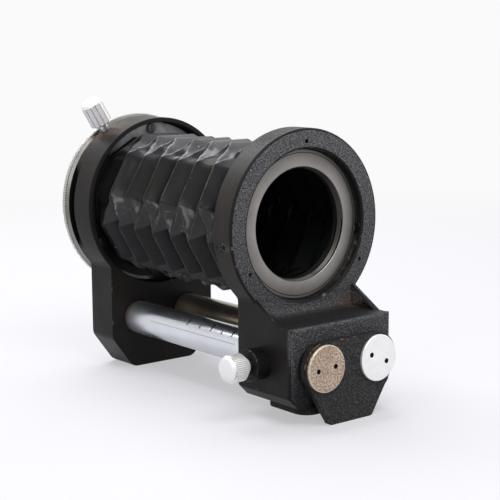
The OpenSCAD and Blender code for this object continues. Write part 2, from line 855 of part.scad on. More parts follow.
rear_standard();
rod_left();
rod_right();
rear_rod_screws();
end_plate();
rod_cap_left();
rod_cap_right();
rear_disc();
bellows_rear_frame();
rear_frame_screws();
bellows();
front_standard();
lens_ring();
lens_ring_screws();
bellows_front_frame();
front_frame_screws();
tripod_bush();
clamp_bush();
clamp_pad();
clamp_screw();
clamp_knob();
mount_ring();
ring_sleeve();
retaining_ring();
camera_thread();
camera_thread_screws();
lock_pad();
lock_screw();
lock_knob();
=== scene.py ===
# Macro bellows unit on twin guide rods: the looks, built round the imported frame. Metres, +Z up.
import math

import bmesh
import bpy
import numpy as np
from mathutils import Matrix, Vector
from mathutils.kdtree import KDTree


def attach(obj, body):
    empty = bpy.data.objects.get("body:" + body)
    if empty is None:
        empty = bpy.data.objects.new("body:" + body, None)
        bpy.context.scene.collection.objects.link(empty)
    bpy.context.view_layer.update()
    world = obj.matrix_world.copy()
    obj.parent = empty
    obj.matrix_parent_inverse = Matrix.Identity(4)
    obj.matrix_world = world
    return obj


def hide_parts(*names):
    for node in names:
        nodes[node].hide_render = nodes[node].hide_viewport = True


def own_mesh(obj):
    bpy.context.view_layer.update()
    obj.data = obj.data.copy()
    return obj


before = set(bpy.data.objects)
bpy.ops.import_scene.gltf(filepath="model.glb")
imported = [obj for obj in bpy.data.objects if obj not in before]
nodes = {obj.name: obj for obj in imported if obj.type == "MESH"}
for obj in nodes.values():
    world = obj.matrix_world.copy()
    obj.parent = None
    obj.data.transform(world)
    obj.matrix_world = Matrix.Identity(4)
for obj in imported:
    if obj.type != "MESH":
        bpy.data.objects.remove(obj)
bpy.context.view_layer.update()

mm = 0.001
axisHeight = 67.6 * mm  # the optical axis above the table

# the camera, as it stood for the photograph
cameraView = {
    "place": (-0.307576, -0.446805, 0.132714),
    "turn": -38.8816,   # degrees round Z, 0 looks along +Y
    "rise": 9.0593,
    "roll": -0.3738,
    "lens": 93.30,
    "sensor": 36.0,
}


def addCamera(view):
    turn, rise, roll = (math.radians(view[key]) for key in ("turn", "rise", "roll"))
    back = Vector((math.sin(turn) * math.cos(rise), -math.cos(turn) * math.cos(rise), math.sin(rise)))
    right = Vector((0, 0, 1)).cross(back).normalized()
    up = back.cross(right)
    rolledRight = right * math.cos(roll) + up * math.sin(roll)
    rolledUp = up * math.cos(roll) - right * math.sin(roll)
    data = bpy.data.cameras.new("camera")
    data.lens = view["lens"]
    data.sensor_width = view["sensor"]
    data.clip_end = 30
    camera = bpy.data.objects.new("camera", data)
    bpy.context.scene.collection.objects.link(camera)
    turned = Matrix((rolledRight, rolledUp, back)).transposed().to_4x4()
    camera.matrix_world = Matrix.Translation(view["place"]) @ turned
    bpy.context.scene.camera = camera


addCamera(cameraView)
bpy.context.scene.view_settings.view_transform = "Standard"
print("camera in place")

# small helpers for node trees
def fill(tree, socket, value):
    # a socket is linked, anything else becomes the value
    if isinstance(value, bpy.types.NodeSocket):
        tree.links.new(value, socket)
    elif socket.type == "RGBA" and len(value) == 3:
        socket.default_value = (*value, 1.0)
    else:
        socket.default_value = value


def put(tree, kind, inputs=None, **props):
    # a new node, its kind written without ShaderNode or GeometryNode in front
    family = "ShaderNode" if hasattr(bpy.types, "ShaderNode" + kind) else "GeometryNode"
    node = tree.nodes.new(family + kind)
    for name, value in props.items():
        setattr(node, name, value)
    for key, value in (inputs or {}).items():
        fill(tree, node.inputs[key], value)
    return node


def make(tree, kind, inputs=None, **props):
    # the same, as the node's first output
    return put(tree, kind, inputs, **props).outputs[0]


def sums(tree, operation, a, b=0.0):
    return make(tree, "Math", {0: a, 1: b}, operation=operation)


def times(tree, a, b):
    return sums(tree, "MULTIPLY", a, b)


def vectorSums(tree, operation, a, b=(0, 0, 0)):
    node = put(tree, "VectorMath", {0: a, 1: b}, operation=operation)
    return node.outputs["Value" if operation in ("LENGTH", "DISTANCE", "DOT_PRODUCT") else "Vector"]


def scaled(tree, vector, share):
    return make(tree, "VectorMath", {0: vector, "Scale": share}, operation="SCALE")


def combined(tree, **parts):
    return make(tree, "CombineXYZ", parts)


def ramp(tree, value, low, high, toLow=0.0, toHigh=1.0, curve="LINEAR"):
    span = {"Value": value, "From Min": low, "From Max": high, "To Min": toLow, "To Max": toHigh}
    return make(tree, "MapRange", span, clamp=True, interpolation_type=curve)


def blendColor(tree, share, first, second):
    return put(tree, "Mix", {0: share, 6: first, 7: second}, data_type="RGBA").outputs[2]


def blendValue(tree, share, first, second):
    return make(tree, "Mix", {0: share, 2: first, 3: second}, data_type="FLOAT")


def noise(tree, place, scale, detail, rough=0.5):
    values = {"Vector": place, "Scale": scale, "Detail": detail, "Roughness": rough}
    return make(tree, "TexNoise", values)


def surface(tree, kind="Object"):
    # where a point is on the piece, or with "Normal" the way it faces
    return put(tree, "TexCoord").outputs[kind]


def surfaceParts(tree, kind="Object"):
    return put(tree, "SeparateXYZ", {"Vector": surface(tree, kind)}).outputs


def carried(tree, label):
    return put(tree, "Attribute", attribute_name=label).outputs["Fac"]


def newGroup(name, family, outputs, inputs):
    # each input has its first value, or the kind of its socket where it has none
    group = bpy.data.node_groups.new(name, family + "NodeTree")
    kinds = {float: "Float", int: "Int", tuple: "Vector"}
    for label, value in inputs.items():
        kind = "NodeSocket" + kinds.get(type(value), str(value))
        socket = group.interface.new_socket(name=label, in_out="INPUT", socket_type=kind)
        if type(value) in kinds:
            socket.default_value = value
    for label in outputs:
        kind = "NodeSocketGeometry" if label == "Geometry" else "NodeSocketFloat"
        group.interface.new_socket(name=label, in_out="OUTPUT", socket_type=kind)
    entry = group.nodes.new("NodeGroupInput")
    leave = group.nodes.new("NodeGroupOutput")
    return group, entry.outputs, leave.inputs


def close(group, give, **values):
    for label, value in values.items():
        group.links.new(value, give[label])
    return group


def useGroup(tree, group, **values):
    return put(tree, "Group", values, node_tree=group).outputs


# effects that several materials share
def buildGrain():
    # lumpy paint skin: a height and a slow change of tone
    group, take, give = newGroup("paintGrain", "Shader", ("Height", "Tone"), {"Scale": 1200.0, "Lumps": 0.6})
    place = surface(group)
    cells = make(group, "TexVoronoi", {"Vector": place, "Scale": take["Scale"], "Smoothness": 0.5},
        feature="SMOOTH_F1")
    height = blendValue(group, take["Lumps"], noise(group, place, take["Scale"], 3.0), cells)
    return close(group, give, Height=height, Tone=ramp(group, noise(group, place, 55.0, 4.0), 0.35, 0.68))


def buildPatches():
    # worn or stained places: a mask that covers roughly the given share
    group, take, give = newGroup("wornPatches", "Shader", ("Mask",),
        {"Scale": 300.0, "Cover": 0.4, "Softness": 0.06})
    cloud = noise(group, surface(group), take["Scale"], 6.0, 0.62)
    level = ramp(group, take["Cover"], 0.0, 1.0, 0.72, 0.28)
    low, high = (sums(group, side, level, take["Softness"]) for side in ("SUBTRACT", "ADD"))
    return close(group, give, Mask=ramp(group, cloud, low, high))


def buildSpecks():
    # separate dust grains: only some cells hold one
    group, take, give = newGroup("dustSpecks", "Shader", ("Mask",),
        {"Scale": 500.0, "Share": 0.1, "Size": 0.16})
    cells = put(group, "TexVoronoi", {"Vector": surface(group), "Scale": take["Scale"]}).outputs
    chance = make(group, "SeparateColor", {"Color": cells["Color"]})
    chosen = sums(group, "LESS_THAN", chance, take["Share"])
    near = sums(group, "LESS_THAN", cells["Distance"], take["Size"])
    return close(group, give, Mask=times(group, chosen, near))


def buildScratches():
    # hairlines along one direction, as a value from 0 to 1
    group, take, give = newGroup("hairlines", "Shader", ("Value",), {"Stretch": (1.0, 1.0, 1.0)})
    stretched = vectorSums(group, "MULTIPLY", surface(group), take["Stretch"])
    return close(group, give, Value=ramp(group, noise(group, stretched, 1.0, 4.0), 0.3, 0.7))


def buildTurning():
    # the fine rings a lathe leaves round the optical axis, and the distance from that axis
    group, take, give = newGroup("latheRings", "Shader", ("Height", "Radius"), {"Pitch": 0.0002})
    parts = surfaceParts(group)
    above = sums(group, "SUBTRACT", parts["Z"], axisHeight)
    radius = vectorSums(group, "LENGTH", combined(group, X=parts["X"], Z=above))
    counted = sums(group, "DIVIDE", radius, take["Pitch"])
    lines = make(group, "TexNoise", {"W": counted, "Scale": 1.0, "Detail": 2.0}, noise_dimensions="1D")
    return close(group, give, Height=lines, Radius=radius)


def buildDistance():
    # full near one place on the piece, and nothing far from it
    group, take, give = newGroup("distanceTo", "Shader", ("Mask",),
        {"Place": (0.0, 0.0, 0.0), "Near": 0.001, "Far": 0.005})
    span = vectorSums(group, "DISTANCE", surface(group), take["Place"])
    return close(group, give, Mask=ramp(group, span, take["Near"], take["Far"], 1.0, 0.0))


grain = buildGrain()
patches = buildPatches()
specks = buildSpecks()
scratches = buildScratches()
turning = buildTurning()
nearTo = buildDistance()


def patchMask(tree, scale, cover, softness):
    return useGroup(tree, patches, Scale=scale, Cover=cover, Softness=softness)["Mask"]


def speckMask(tree, scale, share, size):
    return useGroup(tree, specks, Scale=scale, Share=share, Size=size)["Mask"]


def nearMask(tree, place, near, far):
    return useGroup(tree, nearTo, Place=place, Near=near, Far=far)["Mask"]


def axisRadius(tree):
    return useGroup(tree, turning)["Radius"]


def toned(tone, share):
    return tuple(share * part for part in tone)


# materials
wear = {
    # place, and how far round it the wear, or at the disc's rim the painted highlight, is full and where it
    # ends, all in metres
    "lockScrew": ((-0.0186, 0.005, 0.0985), 0.0015, 0.011),
    "gussets": (((0.0205, -0.1, 0.0372), 0.001, 0.0055), ((-0.0215, -0.0995, 0.0378), 0.0004, 0.003)),
    "clothRidge": ((-0.0245, -0.07, 0.083), 0.005, 0.012),
    "discRimHighlight": ((-0.0095, 0.0, 0.0365), 0.005, 0.01),
    # the same, with how much more of the paint is gone
    "plate": (((-0.0195, -0.122, 0.0305), 0.004, 0.011, 0.42), ((0.0, -0.122, 0.033), 0.004, 0.012, 0.34),
        ((-0.0095, -0.122, 0.0), 0.001, 0.004, 0.4), ((0.0095, -0.122, 0.0), 0.001, 0.003, 0.3)),
    "block": (((-0.0244, -0.117, 0.031), 0.002, 0.006, 0.5), ((-0.0244, -0.117, 0.02), 0.004, 0.009, 0.28)),
    # the middles of the grub screws, and the radii where their dirt ends
    "grubs": ((-0.03424, -0.0931, 0.0623), (0.03424, -0.0931, 0.0623)), "grubDirt": (1.0 * mm, 1.2 * mm),
}
zones = {
    # from and to: the hood's bore, how far in it is painted shade, the lens recess with its painted shade and
    # glints, and the band of the rear disc's rim with its painted highlight
    "hood": (33.36 * mm, 33.5 * mm), "hoodDepth": (0.7 * mm, 0.9 * mm), "recess": (27.7 * mm, 27.85 * mm),
    "discRimHighlight": (31.5 * mm, 32.1 * mm),
    # heights: where painted light brightens the front's face and sides upwards, and where painted shade
    # darkens it low on the block
    "bright": (36 * mm, 98 * mm), "brightSide": (36 * mm, 60 * mm), "shadedLow": (7 * mm, 22 * mm),
    "haze": (-15 * mm, -1 * mm),  # along a rod, counted from where its rust starts
}


def newMaterial(name, metallic=0.0, specular=0.5):
    material = bpy.data.materials.new(name)
    material.use_nodes = True
    tree = material.node_tree
    sockets = tree.nodes["Principled BSDF"].inputs
    sockets["Metallic"].default_value = metallic
    sockets["Specular IOR Level"].default_value = specular
    return material, tree


def finished(material, color, rough, height, depth, **more):
    # the last links of a material; underscores in the names of more sockets stand for spaces
    tree = material.node_tree
    sockets = tree.nodes["Principled BSDF"].inputs
    fill(tree, sockets["Base Color"], color)
    fill(tree, sockets["Roughness"], rough)
    fill(tree, sockets["Normal"], make(tree, "Bump", {"Height": height, "Distance": depth}))
    for name, value in more.items():
        fill(tree, sockets[name.replace("_", " ")], value)
    return material


def satinPaint(name, tone, warm, shine, dust, hood=False):
    # smooth black paint with a slow brown cast, painted shade on faces that look up, a fine skin and a few
    # grains of dust
    material, tree = newMaterial(name, specular=0.12)
    skin = useGroup(tree, grain, Scale=2600.0, Lumps=0.25)
    color = blendColor(tree, patchMask(tree, 42.0, 0.5, 0.16), tone, warm)
    # painted shade: faces that look up are darker
    color = scaled(tree, color, ramp(tree, surfaceParts(tree, "Normal")["Z"], 0.3, 0.9, 1.0, 0.5))
    rough = ramp(tree, skin["Tone"], 0.0, 1.0, shine, shine + 0.14)
    if hood:  # the rim is rubbed brown near the lock screw, and painted shade makes the hood near black and matt inside
        rubbed = times(tree, nearMask(tree, *wear["lockScrew"]), patchMask(tree, 320.0, 0.55, 0.12))
        color = blendColor(tree, rubbed, color, (0.1, 0.06, 0.04))
        # painted shade: the hood's bore is near black
        inside = times(tree, ramp(tree, axisRadius(tree), *zones["hood"], 1.0, 0.0),
            ramp(tree, surfaceParts(tree)["Y"], *zones["hoodDepth"], 1.0, 0.0))
        color = blendColor(tree, inside, color, (0.0045, 0.005, 0.0055))
        rough = blendValue(tree, inside, rough, 0.62)
    color = blendColor(tree, speckMask(tree, 420.0, dust, 0.09), color, (0.2, 0.19, 0.18))
    return finished(material, color, rough, skin["Height"], 0.00002)


def cracklePaint(name, scale=1950.0, depth=0.0005, light=(0.15, 0.15, 0.16), front=True):
    # coarse grain on the faces that look forward and up, and a smoother skin on the sides
    material, tree = newMaterial(name, specular=0.13)
    way, height = surfaceParts(tree, "Normal"), surfaceParts(tree)["Z"]
    forward = ramp(tree, times(tree, way["Y"], -1.0), 0.45, 0.75)
    upward = ramp(tree, way["Z"], 0.7, 0.9)
    coarse = sums(tree, "MAXIMUM", forward, upward)
    skin = useGroup(tree, grain, Scale=scale, Lumps=0.62)
    stain = patchMask(tree, 60.0, 0.42, 0.14)
    side = blendColor(tree, stain, (0.0105, 0.0105, 0.0112), (0.019, 0.0155, 0.0125))
    face = blendColor(tree, ramp(tree, skin["Height"], 0.3, 0.74), (0.013, 0.013, 0.014), light)
    if front:  # painted light brightens the ring towards the top, and painted shade darkens the block low down
        level = times(tree, ramp(tree, height, *zones["bright"], 0.95, 1.5),
            ramp(tree, height, *zones["shadedLow"], 0.25, 1.0))
        side = scaled(tree, side, ramp(tree, height, *zones["brightSide"], 1.1, 1.7))
        face = scaled(tree, face, level)
    # painted shade: faces that look up, such as the shelf under the ring, are darkened
    face = blendColor(tree, times(tree, upward, 0.94), face, (0.005, 0.005, 0.0054))
    color = blendColor(tree, coarse, side, face)
    if front:  # painted shade with painted glints in the lens recess, and dirt in the gussets' corners
        # painted shade darkens the lens recess, broken by painted glints
        glint = patchMask(tree, 330.0, 0.24, 0.05)
        wall = blendColor(tree, glint, (0.006, 0.006, 0.006), (0.075, 0.062, 0.05))
        color = blendColor(tree, ramp(tree, axisRadius(tree), *zones["recess"], 1.0, 0.0), color, wall)
        for corner in wear["gussets"]:
            rubbed = times(tree, nearMask(tree, *corner), patchMask(tree, 420.0, 0.55, 0.12))
            color = blendColor(tree, rubbed, color, (0.075, 0.042, 0.027))
    color = blendColor(tree, speckMask(tree, 460.0, 0.035, 0.1), color, (0.22, 0.22, 0.22))
    uneven = ramp(tree, skin["Tone"], 0.0, 1.0, -0.04, 0.06)
    rough = sums(tree, "ADD", blendValue(tree, coarse, 0.44, 0.46), uneven)
    relief = times(tree, skin["Height"], blendValue(tree, coarse, 0.1, 1.0))
    return finished(material, color, rough, relief, depth)


def wornEdge(name, cover, bare, metallic, spots=(), scale=210.0):
    # paint rubbed through to the metal along an edge, mostly near the given spots
    material, tree = newMaterial(name, specular=0.1)
    share = cover
    for place, near, far, more in spots:
        share = sums(tree, "ADD", share, times(tree, nearMask(tree, place, near, far), more))
    mask = patchMask(tree, scale, share, 0.05)
    color = blendColor(tree, mask, (0.013, 0.013, 0.0135), bare)
    return finished(material, color, ramp(tree, mask, 0.0, 1.0, 0.42, 0.34), mask, -0.00002,
        Metallic=times(tree, mask, metallic))


def polishedMetal(name, tone, shine, stretch, stain=None, stainCover=0.3, metallic=1.0, rust=None):
    # bright plated metal with hairlines, and rust from one place to another along the axis, with a painted
    # dark reflection along the top
    material, tree = newMaterial(name, metallic=metallic)
    lines = useGroup(tree, scratches, Stretch=stretch)["Value"]
    color = blendColor(tree, patchMask(tree, 70.0, stainCover, 0.24), tone, stain or toned(tone, 0.86))
    rough = ramp(tree, lines, 0.0, 1.0, shine, shine + 0.04)
    if rust:  # a painted dark blue reflection along the top, and the plating is hazy in front of the rust
        up, along = surfaceParts(tree, "Normal")["Z"], surfaceParts(tree)["Y"]
        # painted reflection: the rod's top is darkened blue
        color = blendColor(tree, ramp(tree, up, 0.42, 0.8, 0.0, 0.38), color, (0.15, 0.175, 0.225))
        start, end = (rust[0] + step for step in zones["haze"])
        rough = sums(tree, "ADD", rough, ramp(tree, along, start, end, 0.0, 0.18))
        spots = ramp(tree, patchMask(tree, 340.0, 0.6, 0.2), 0.0, 1.0, 0.6, 1.0)
        band = times(tree, ramp(tree, along, *rust), spots)
        color = blendColor(tree, band, color, (0.2, 0.13, 0.085))
        rough = blendValue(tree, band, rough, 0.6)
    return finished(material, color, rough, lines, 0.0000004)


def knurledMetal(name, tone, shine, grime, metallic=1.0):
    # bright crests and grime between the teeth, from the attribute that the knurling tree leaves
    material, tree = newMaterial(name, metallic=metallic)
    crest = carried(tree, "crest")
    cloud = patchMask(tree, 380.0, 0.5, 0.2)
    low = blendColor(tree, cloud, grime, toned(tone, 0.55))
    color = blendColor(tree, ramp(tree, crest, 0.05, 0.55), low, tone)
    return finished(material, color, ramp(tree, crest, 0.0, 1.0, 0.5, shine), cloud, 0.000003)


def latheMetal(name, tone, shine, across=None, down=None):
    # grey metal with lathe rings round the optical axis, darker from one radius to another, and painted shade
    # from one height to another
    material, tree = newMaterial(name, metallic=1.0)
    lathe = useGroup(tree, turning, Pitch=0.00016)
    rings = lathe["Height"]
    color = blendColor(tree, patchMask(tree, 90.0, 0.45, 0.22), tone, toned(tone, 0.72))
    color = blendColor(tree, ramp(tree, rings, 0.35, 0.65, 0.0, 0.3), color, toned(tone, 0.5))
    if across:
        start, end, share = across
        outerDarker = times(tree, ramp(tree, lathe["Radius"], start, end), share)
        color = blendColor(tree, outerDarker, color, (0.07, 0.06, 0.052))
    # painted shade: the metal is darker higher up
    if down:
        color = blendColor(tree, ramp(tree, surfaceParts(tree)["Z"], *down), color, toned(tone, 0.3))
    color = blendColor(tree, speckMask(tree, 380.0, 0.05, 0.14), color, (0.06, 0.045, 0.035))
    return finished(material, color, ramp(tree, rings, 0.3, 0.7, shine, shine + 0.12), rings, 0.000012)


def speckledCap(name, tone, spot, cover, shine, metallic):
    # old plating with a crowd of small dark or pale marks
    material, tree = newMaterial(name, metallic=metallic)
    fine = patchMask(tree, 1500.0, cover, 0.12)
    broad = times(tree, patchMask(tree, 230.0, 0.45, 0.16), 0.5)
    color = blendColor(tree, broad, blendColor(tree, fine, tone, spot), spot)
    return finished(material, color, ramp(tree, fine, 0.0, 1.0, shine, shine + 0.18), fine, 0.00001)


def coatedCloth(name):
    # black coated cloth: rubbed grey with a painted highlight on the ridges, painted shade and a duller
    # finish in the hollows, dust with painted light on faces that look up, each tile with its own cast
    material, tree = newMaterial(name, specular=0.08)
    ridge, hollow, cast, loose = (carried(tree, label) for label in ("ridge", "hollow", "cast", "loose"))
    up = surfaceParts(tree, "Normal")["Z"]
    skin = useGroup(tree, grain, Scale=1500.0, Lumps=0.3)
    color = blendColor(tree, cast, (0.0082, 0.0087, 0.0112), (0.012, 0.0118, 0.0088))
    scuff = times(tree, patchMask(tree, 105.0, 0.36, 0.16), 0.4)
    color = blendColor(tree, scuff, color, (0.03, 0.03, 0.031))
    # dust and painted light: faces that look up are greyer
    dustAndTopLight = ramp(tree, up, 0.5, 0.9, 0.0, 0.9)
    color = blendColor(tree, dustAndTopLight, color, (0.125, 0.125, 0.134))
    # painted shade in the hollows of the inward folds
    color = blendColor(tree, times(tree, hollow, 0.9), color, (0.0015, 0.0016, 0.0018))
    rub = ramp(tree, patchMask(tree, 300.0, 0.5, 0.12), 0.0, 1.0, 0.1, 1.0)
    # rubbed light ridges: partly wear, partly a painted highlight
    ridgeWearAndHighlight = times(tree, ramp(tree, ridge, 0.5, 0.97), rub)
    bare = blendColor(tree, nearMask(tree, *wear["clothRidge"]), (0.16, 0.155, 0.148), (0.3, 0.21, 0.12))
    color = blendColor(tree, times(tree, ridgeWearAndHighlight, 0.6), color, bare)
    color = blendColor(tree, speckMask(tree, 340.0, 0.09, 0.07), color, (0.5, 0.49, 0.48))
    rough = sums(tree, "ADD", ramp(tree, skin["Tone"], 0.0, 1.0, 0.34, 0.5), times(tree, hollow, 0.3))
    crushed = ramp(tree, loose, 1.02, 1.4, 0.0, 0.34)
    shine = times(tree, ramp(tree, skin["Tone"], 0.0, 1.0, 0.18, 0.34), ramp(tree, cast, 0.0, 1.0, 1.2, 0.3))
    coat = times(tree, ramp(tree, hollow, 0.0, 0.6, 1.0, 0.0), sums(tree, "ADD", shine, crushed))
    coat = times(tree, coat, ramp(tree, up, 0.3, 0.75, 1.0, 0.4))
    return finished(material, color, rough, skin["Height"], 0.0001, Coat_Weight=coat, Coat_Roughness=0.16)


def heightGrey(name, low, high, below, above):
    # dull plate with patches of dirt, painted shade low down and painted light at the top, and a streak of
    # painted highlight at one place of its rim
    material, tree = newMaterial(name, metallic=0.45, specular=0.3)
    dirt = patchMask(tree, 240.0, 0.35, 0.2)
    rim = ramp(tree, axisRadius(tree), *zones["discRimHighlight"])
    highlightPatches = patchMask(tree, 160.0, 0.75, 0.2)
    streak = times(tree, times(tree, nearMask(tree, *wear["discRimHighlight"]), rim), highlightPatches)
    # painted light at the top and in the rim's highlight streak, painted shade below
    litShare = sums(tree, "MAXIMUM", ramp(tree, surfaceParts(tree)["Z"], low, high), times(tree, streak, 0.7))
    color = blendColor(tree, times(tree, dirt, 0.5), blendColor(tree, litShare, below, above), below)
    return finished(material, color, ramp(tree, dirt, 0.0, 1.0, 0.45, 0.6), dirt, 0.00001)


def mattBlack(name, tone):
    material, tree = newMaterial(name, specular=0.08)
    skin = useGroup(tree, grain, Scale=1800.0, Lumps=0.4)
    color = blendColor(tree, skin["Tone"], tone, toned(tone, 1.6))
    return finished(material, color, ramp(tree, skin["Tone"], 0.0, 1.0, 0.6, 0.75), skin["Height"], 0.00003)


def grubEnd(name, places, near, far):
    # a screw end with dirt in its middle and a rubbed brass rim
    material, tree = newMaterial(name, metallic=0.5, specular=0.2)
    dark = 0.0
    for place in places:
        dark = sums(tree, "MAXIMUM", dark, nearMask(tree, place, near, far))
    rub = patchMask(tree, 900.0, 0.6, 0.1)
    rim = blendColor(tree, rub, (0.05, 0.042, 0.035), (0.36, 0.3, 0.22))
    color = blendColor(tree, dark, rim, (0.008, 0.008, 0.008))
    return finished(material, color, ramp(tree, rub, 0.0, 1.0, 0.6, 0.4), rub, 0.00001)


# how far the hairlines are drawn out: along the rods, and the same every way on small parts
alongRod = (900.0, 40.0, 900.0)
everyWay = {size: (size, size, size) for size in (200.0, 300.0, 500.0)}
paint = {
    "rear": satinPaint("rearSatinBlack", (0.0115, 0.0115, 0.0124), (0.0225, 0.0195, 0.0172), 0.36, 0.03,
        hood=True),
    "satinEdge": wornEdge("satinBlackEdge", 0.12, (0.2, 0.145, 0.1), 0.5),
    "gloss": satinPaint("glossBlack", (0.009, 0.009, 0.0098), (0.014, 0.0125, 0.011), 0.22, 0.05),
    "plate": cracklePaint("platePaint", 1350.0, 0.0008, (0.07, 0.066, 0.068), front=False),
    "plateEdge": wornEdge("endPlateEdge", 0.04, (0.2, 0.105, 0.07), 0.2, wear["plate"], 330.0),
    "bushEdge": wornEdge("bushEdge", 0.42, (0.11, 0.092, 0.08), 0.3, scale=900.0),
    "crackle": cracklePaint("crackleBlack"),
    "crackleEdge": wornEdge("crackleBlackEdge", 0.06, (0.22, 0.19, 0.165), 0.5, wear["block"]),
    "chrome": polishedMetal("chromePlate", (0.72, 0.74, 0.785), 0.2, alongRod, metallic=0.9,
        rust=(-9.8 * mm, -7.4 * mm)),
    "chromeWarm": polishedMetal("chromePlateStained", (0.56, 0.52, 0.46), 0.22, alongRod, (0.36, 0.28, 0.18),
        0.45, 0.85, (-16 * mm, -7 * mm)),
    "smallChrome": polishedMetal("smallChrome", (0.74, 0.75, 0.77), 0.24, everyWay[300]),
    "knob": knurledMetal("knobChrome", (0.99, 0.98, 0.98), 0.36, (0.34, 0.3, 0.29), 0.85),
    "lockKnob": knurledMetal("lockKnobChrome", (0.78, 0.76, 0.78), 0.45, (0.56, 0.53, 0.54), 0.5),
    "knobRim": wornEdge("knobRim", 0.62, (0.85, 0.85, 0.86), 0.5, scale=330.0),
    "knobFace": polishedMetal("knobFaceChrome", (0.92, 0.92, 0.93), 0.36, everyWay[300], metallic=0.8),
    "knurl": knurledMetal("ringKnurl", (0.74, 0.74, 0.73), 0.3, (0.16, 0.15, 0.13)),
    "ringFace": polishedMetal("ringFaceChrome", (0.3, 0.3, 0.29), 0.28, everyWay[200],
        (0.14, 0.125, 0.1), 0.5),
    "lens": latheMetal("turnedGrey", (0.375, 0.358, 0.345), 0.42, across=(21.5 * mm, 27.2 * mm, 0.68)),
    # a darker copy of the turned grey for the chamfers: painted shade
    "lensEdge": latheMetal("turnedGreyEdge", (0.24, 0.228, 0.215), 0.36),
    "lensThread": latheMetal("lensThread", (0.17, 0.16, 0.15), 0.36, down=(46.8 * mm, 48.3 * mm)),
    "groove": mattBlack("grooveDirt", (0.012, 0.01, 0.008)),
    "sleeve": latheMetal("blackenedSleeve", (0.05, 0.05, 0.053), 0.4),
    "thread": latheMetal("cameraThreadMetal", (0.62, 0.62, 0.63), 0.28),
    "greyPlate": heightGrey("dullGreyPlate", 88 * mm, 94.5 * mm, (0.012, 0.0125, 0.013), (0.66, 0.66, 0.67)),
    "agedCap": speckledCap("agedCap", (0.8, 0.68, 0.56), (0.26, 0.165, 0.1), 0.5, 0.42, 0.5),
    "agedRim": speckledCap("agedCapRim", (0.74, 0.69, 0.6), (0.42, 0.34, 0.25), 0.25, 0.32, 0.8),
    "silverCap": speckledCap("silverCap", (0.99, 0.99, 0.99), (0.86, 0.86, 0.86), 0.3, 0.42, 0.75),
    "silverRim": speckledCap("silverCapRim", (0.9, 0.9, 0.91), (0.7, 0.7, 0.7), 0.2, 0.28, 0.9),
    "steel": polishedMetal("screwSteel", (0.42, 0.42, 0.43), 0.3, everyWay[500]),
    "darkSteel": polishedMetal("darkScrewSteel", (0.1, 0.1, 0.105), 0.38, everyWay[500]),
    "brass": polishedMetal("turnedBrass", (0.72, 0.53, 0.26), 0.28, everyWay[500], (0.3, 0.2, 0.1), 0.4),
    "grub": grubEnd("grubScrew", wear["grubs"], *wear["grubDirt"]),
    "blackFrame": mattBlack("blackFramePaint", (0.006, 0.006, 0.006)),
    "lining": mattBlack("clothLining", (0.0008, 0.0013, 0.0013)),
    "ink": mattBlack("engravingInk", (0.012, 0.012, 0.013)),
    "cloth": coatedCloth("coatedCloth"),
}
print("materials ready:", len(paint))


# mesh helpers
def link(name, mesh):
    piece = bpy.data.objects.new(name, mesh)
    bpy.context.scene.collection.objects.link(piece)
    return piece


def settle(piece):
    # the evaluated shape becomes a plain mesh, and the modifiers go
    depsgraph = bpy.context.evaluated_depsgraph_get()
    mesh = bpy.data.meshes.new_from_object(piece.evaluated_get(depsgraph), preserve_all_data_layers=True,
        depsgraph=depsgraph)
    piece.modifiers.clear()
    old = piece.data
    piece.data = mesh
    mesh.name = piece.name
    bpy.data.meshes.remove(old)


def meshFrom(shape, name):
    mesh = bpy.data.meshes.new(name)
    shape.to_mesh(mesh)
    shape.free()
    return mesh


def smooth(mesh, limit):
    # soft shading up to the given angle between two faces
    shape = bmesh.new()
    shape.from_mesh(mesh)
    for face in shape.faces:
        face.smooth = True
    for edge in shape.edges:
        edge.smooth = len(edge.link_faces) == 2 and edge.calc_face_angle(0) < math.radians(limit)
    shape.to_mesh(mesh)
    shape.free()


def finishPiece(piece, body, slotName, *replaced):
    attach(piece, body)
    if replaced:
        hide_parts(*replaced)


def foldedPlaces(piece):
    # where the rounding of two edges runs into each other, the triangles turn over
    mesh = piece.evaluated_get(bpy.context.evaluated_depsgraph_get()).to_mesh()
    mesh.calc_loop_triangles()
    faces = mesh.polygons
    places = [faces[tri.polygon_index].center.copy() for tri in mesh.loop_triangles
        if tri.area > 1e-10 and tri.normal.dot(faces[tri.polygon_index].normal) < 0.3]
    piece.to_mesh_clear()
    return places


def easeFoldedEdges(piece, reach=0.9 * mm, rounds=4):
    # the edges near such a place stay sharp
    mesh = piece.data
    weights = mesh.attributes["bevel_weight_edge"].data
    for _ in range(rounds):
        places = foldedPlaces(piece)
        if not places:
            break
        tree = KDTree(len(places))
        for index, place in enumerate(places):
            tree.insert(place, index)
        tree.balance()
        for edge, weight in zip(mesh.edges, weights):
            if weight.value > 0:
                ends = [mesh.vertices[index].co for index in edge.vertices]
                spots = (ends[0], ends[1], (ends[0] + ends[1]) / 2)
                if min(tree.find(spot)[2] for spot in spots) < reach:
                    weight.value = 0
        mesh.update()


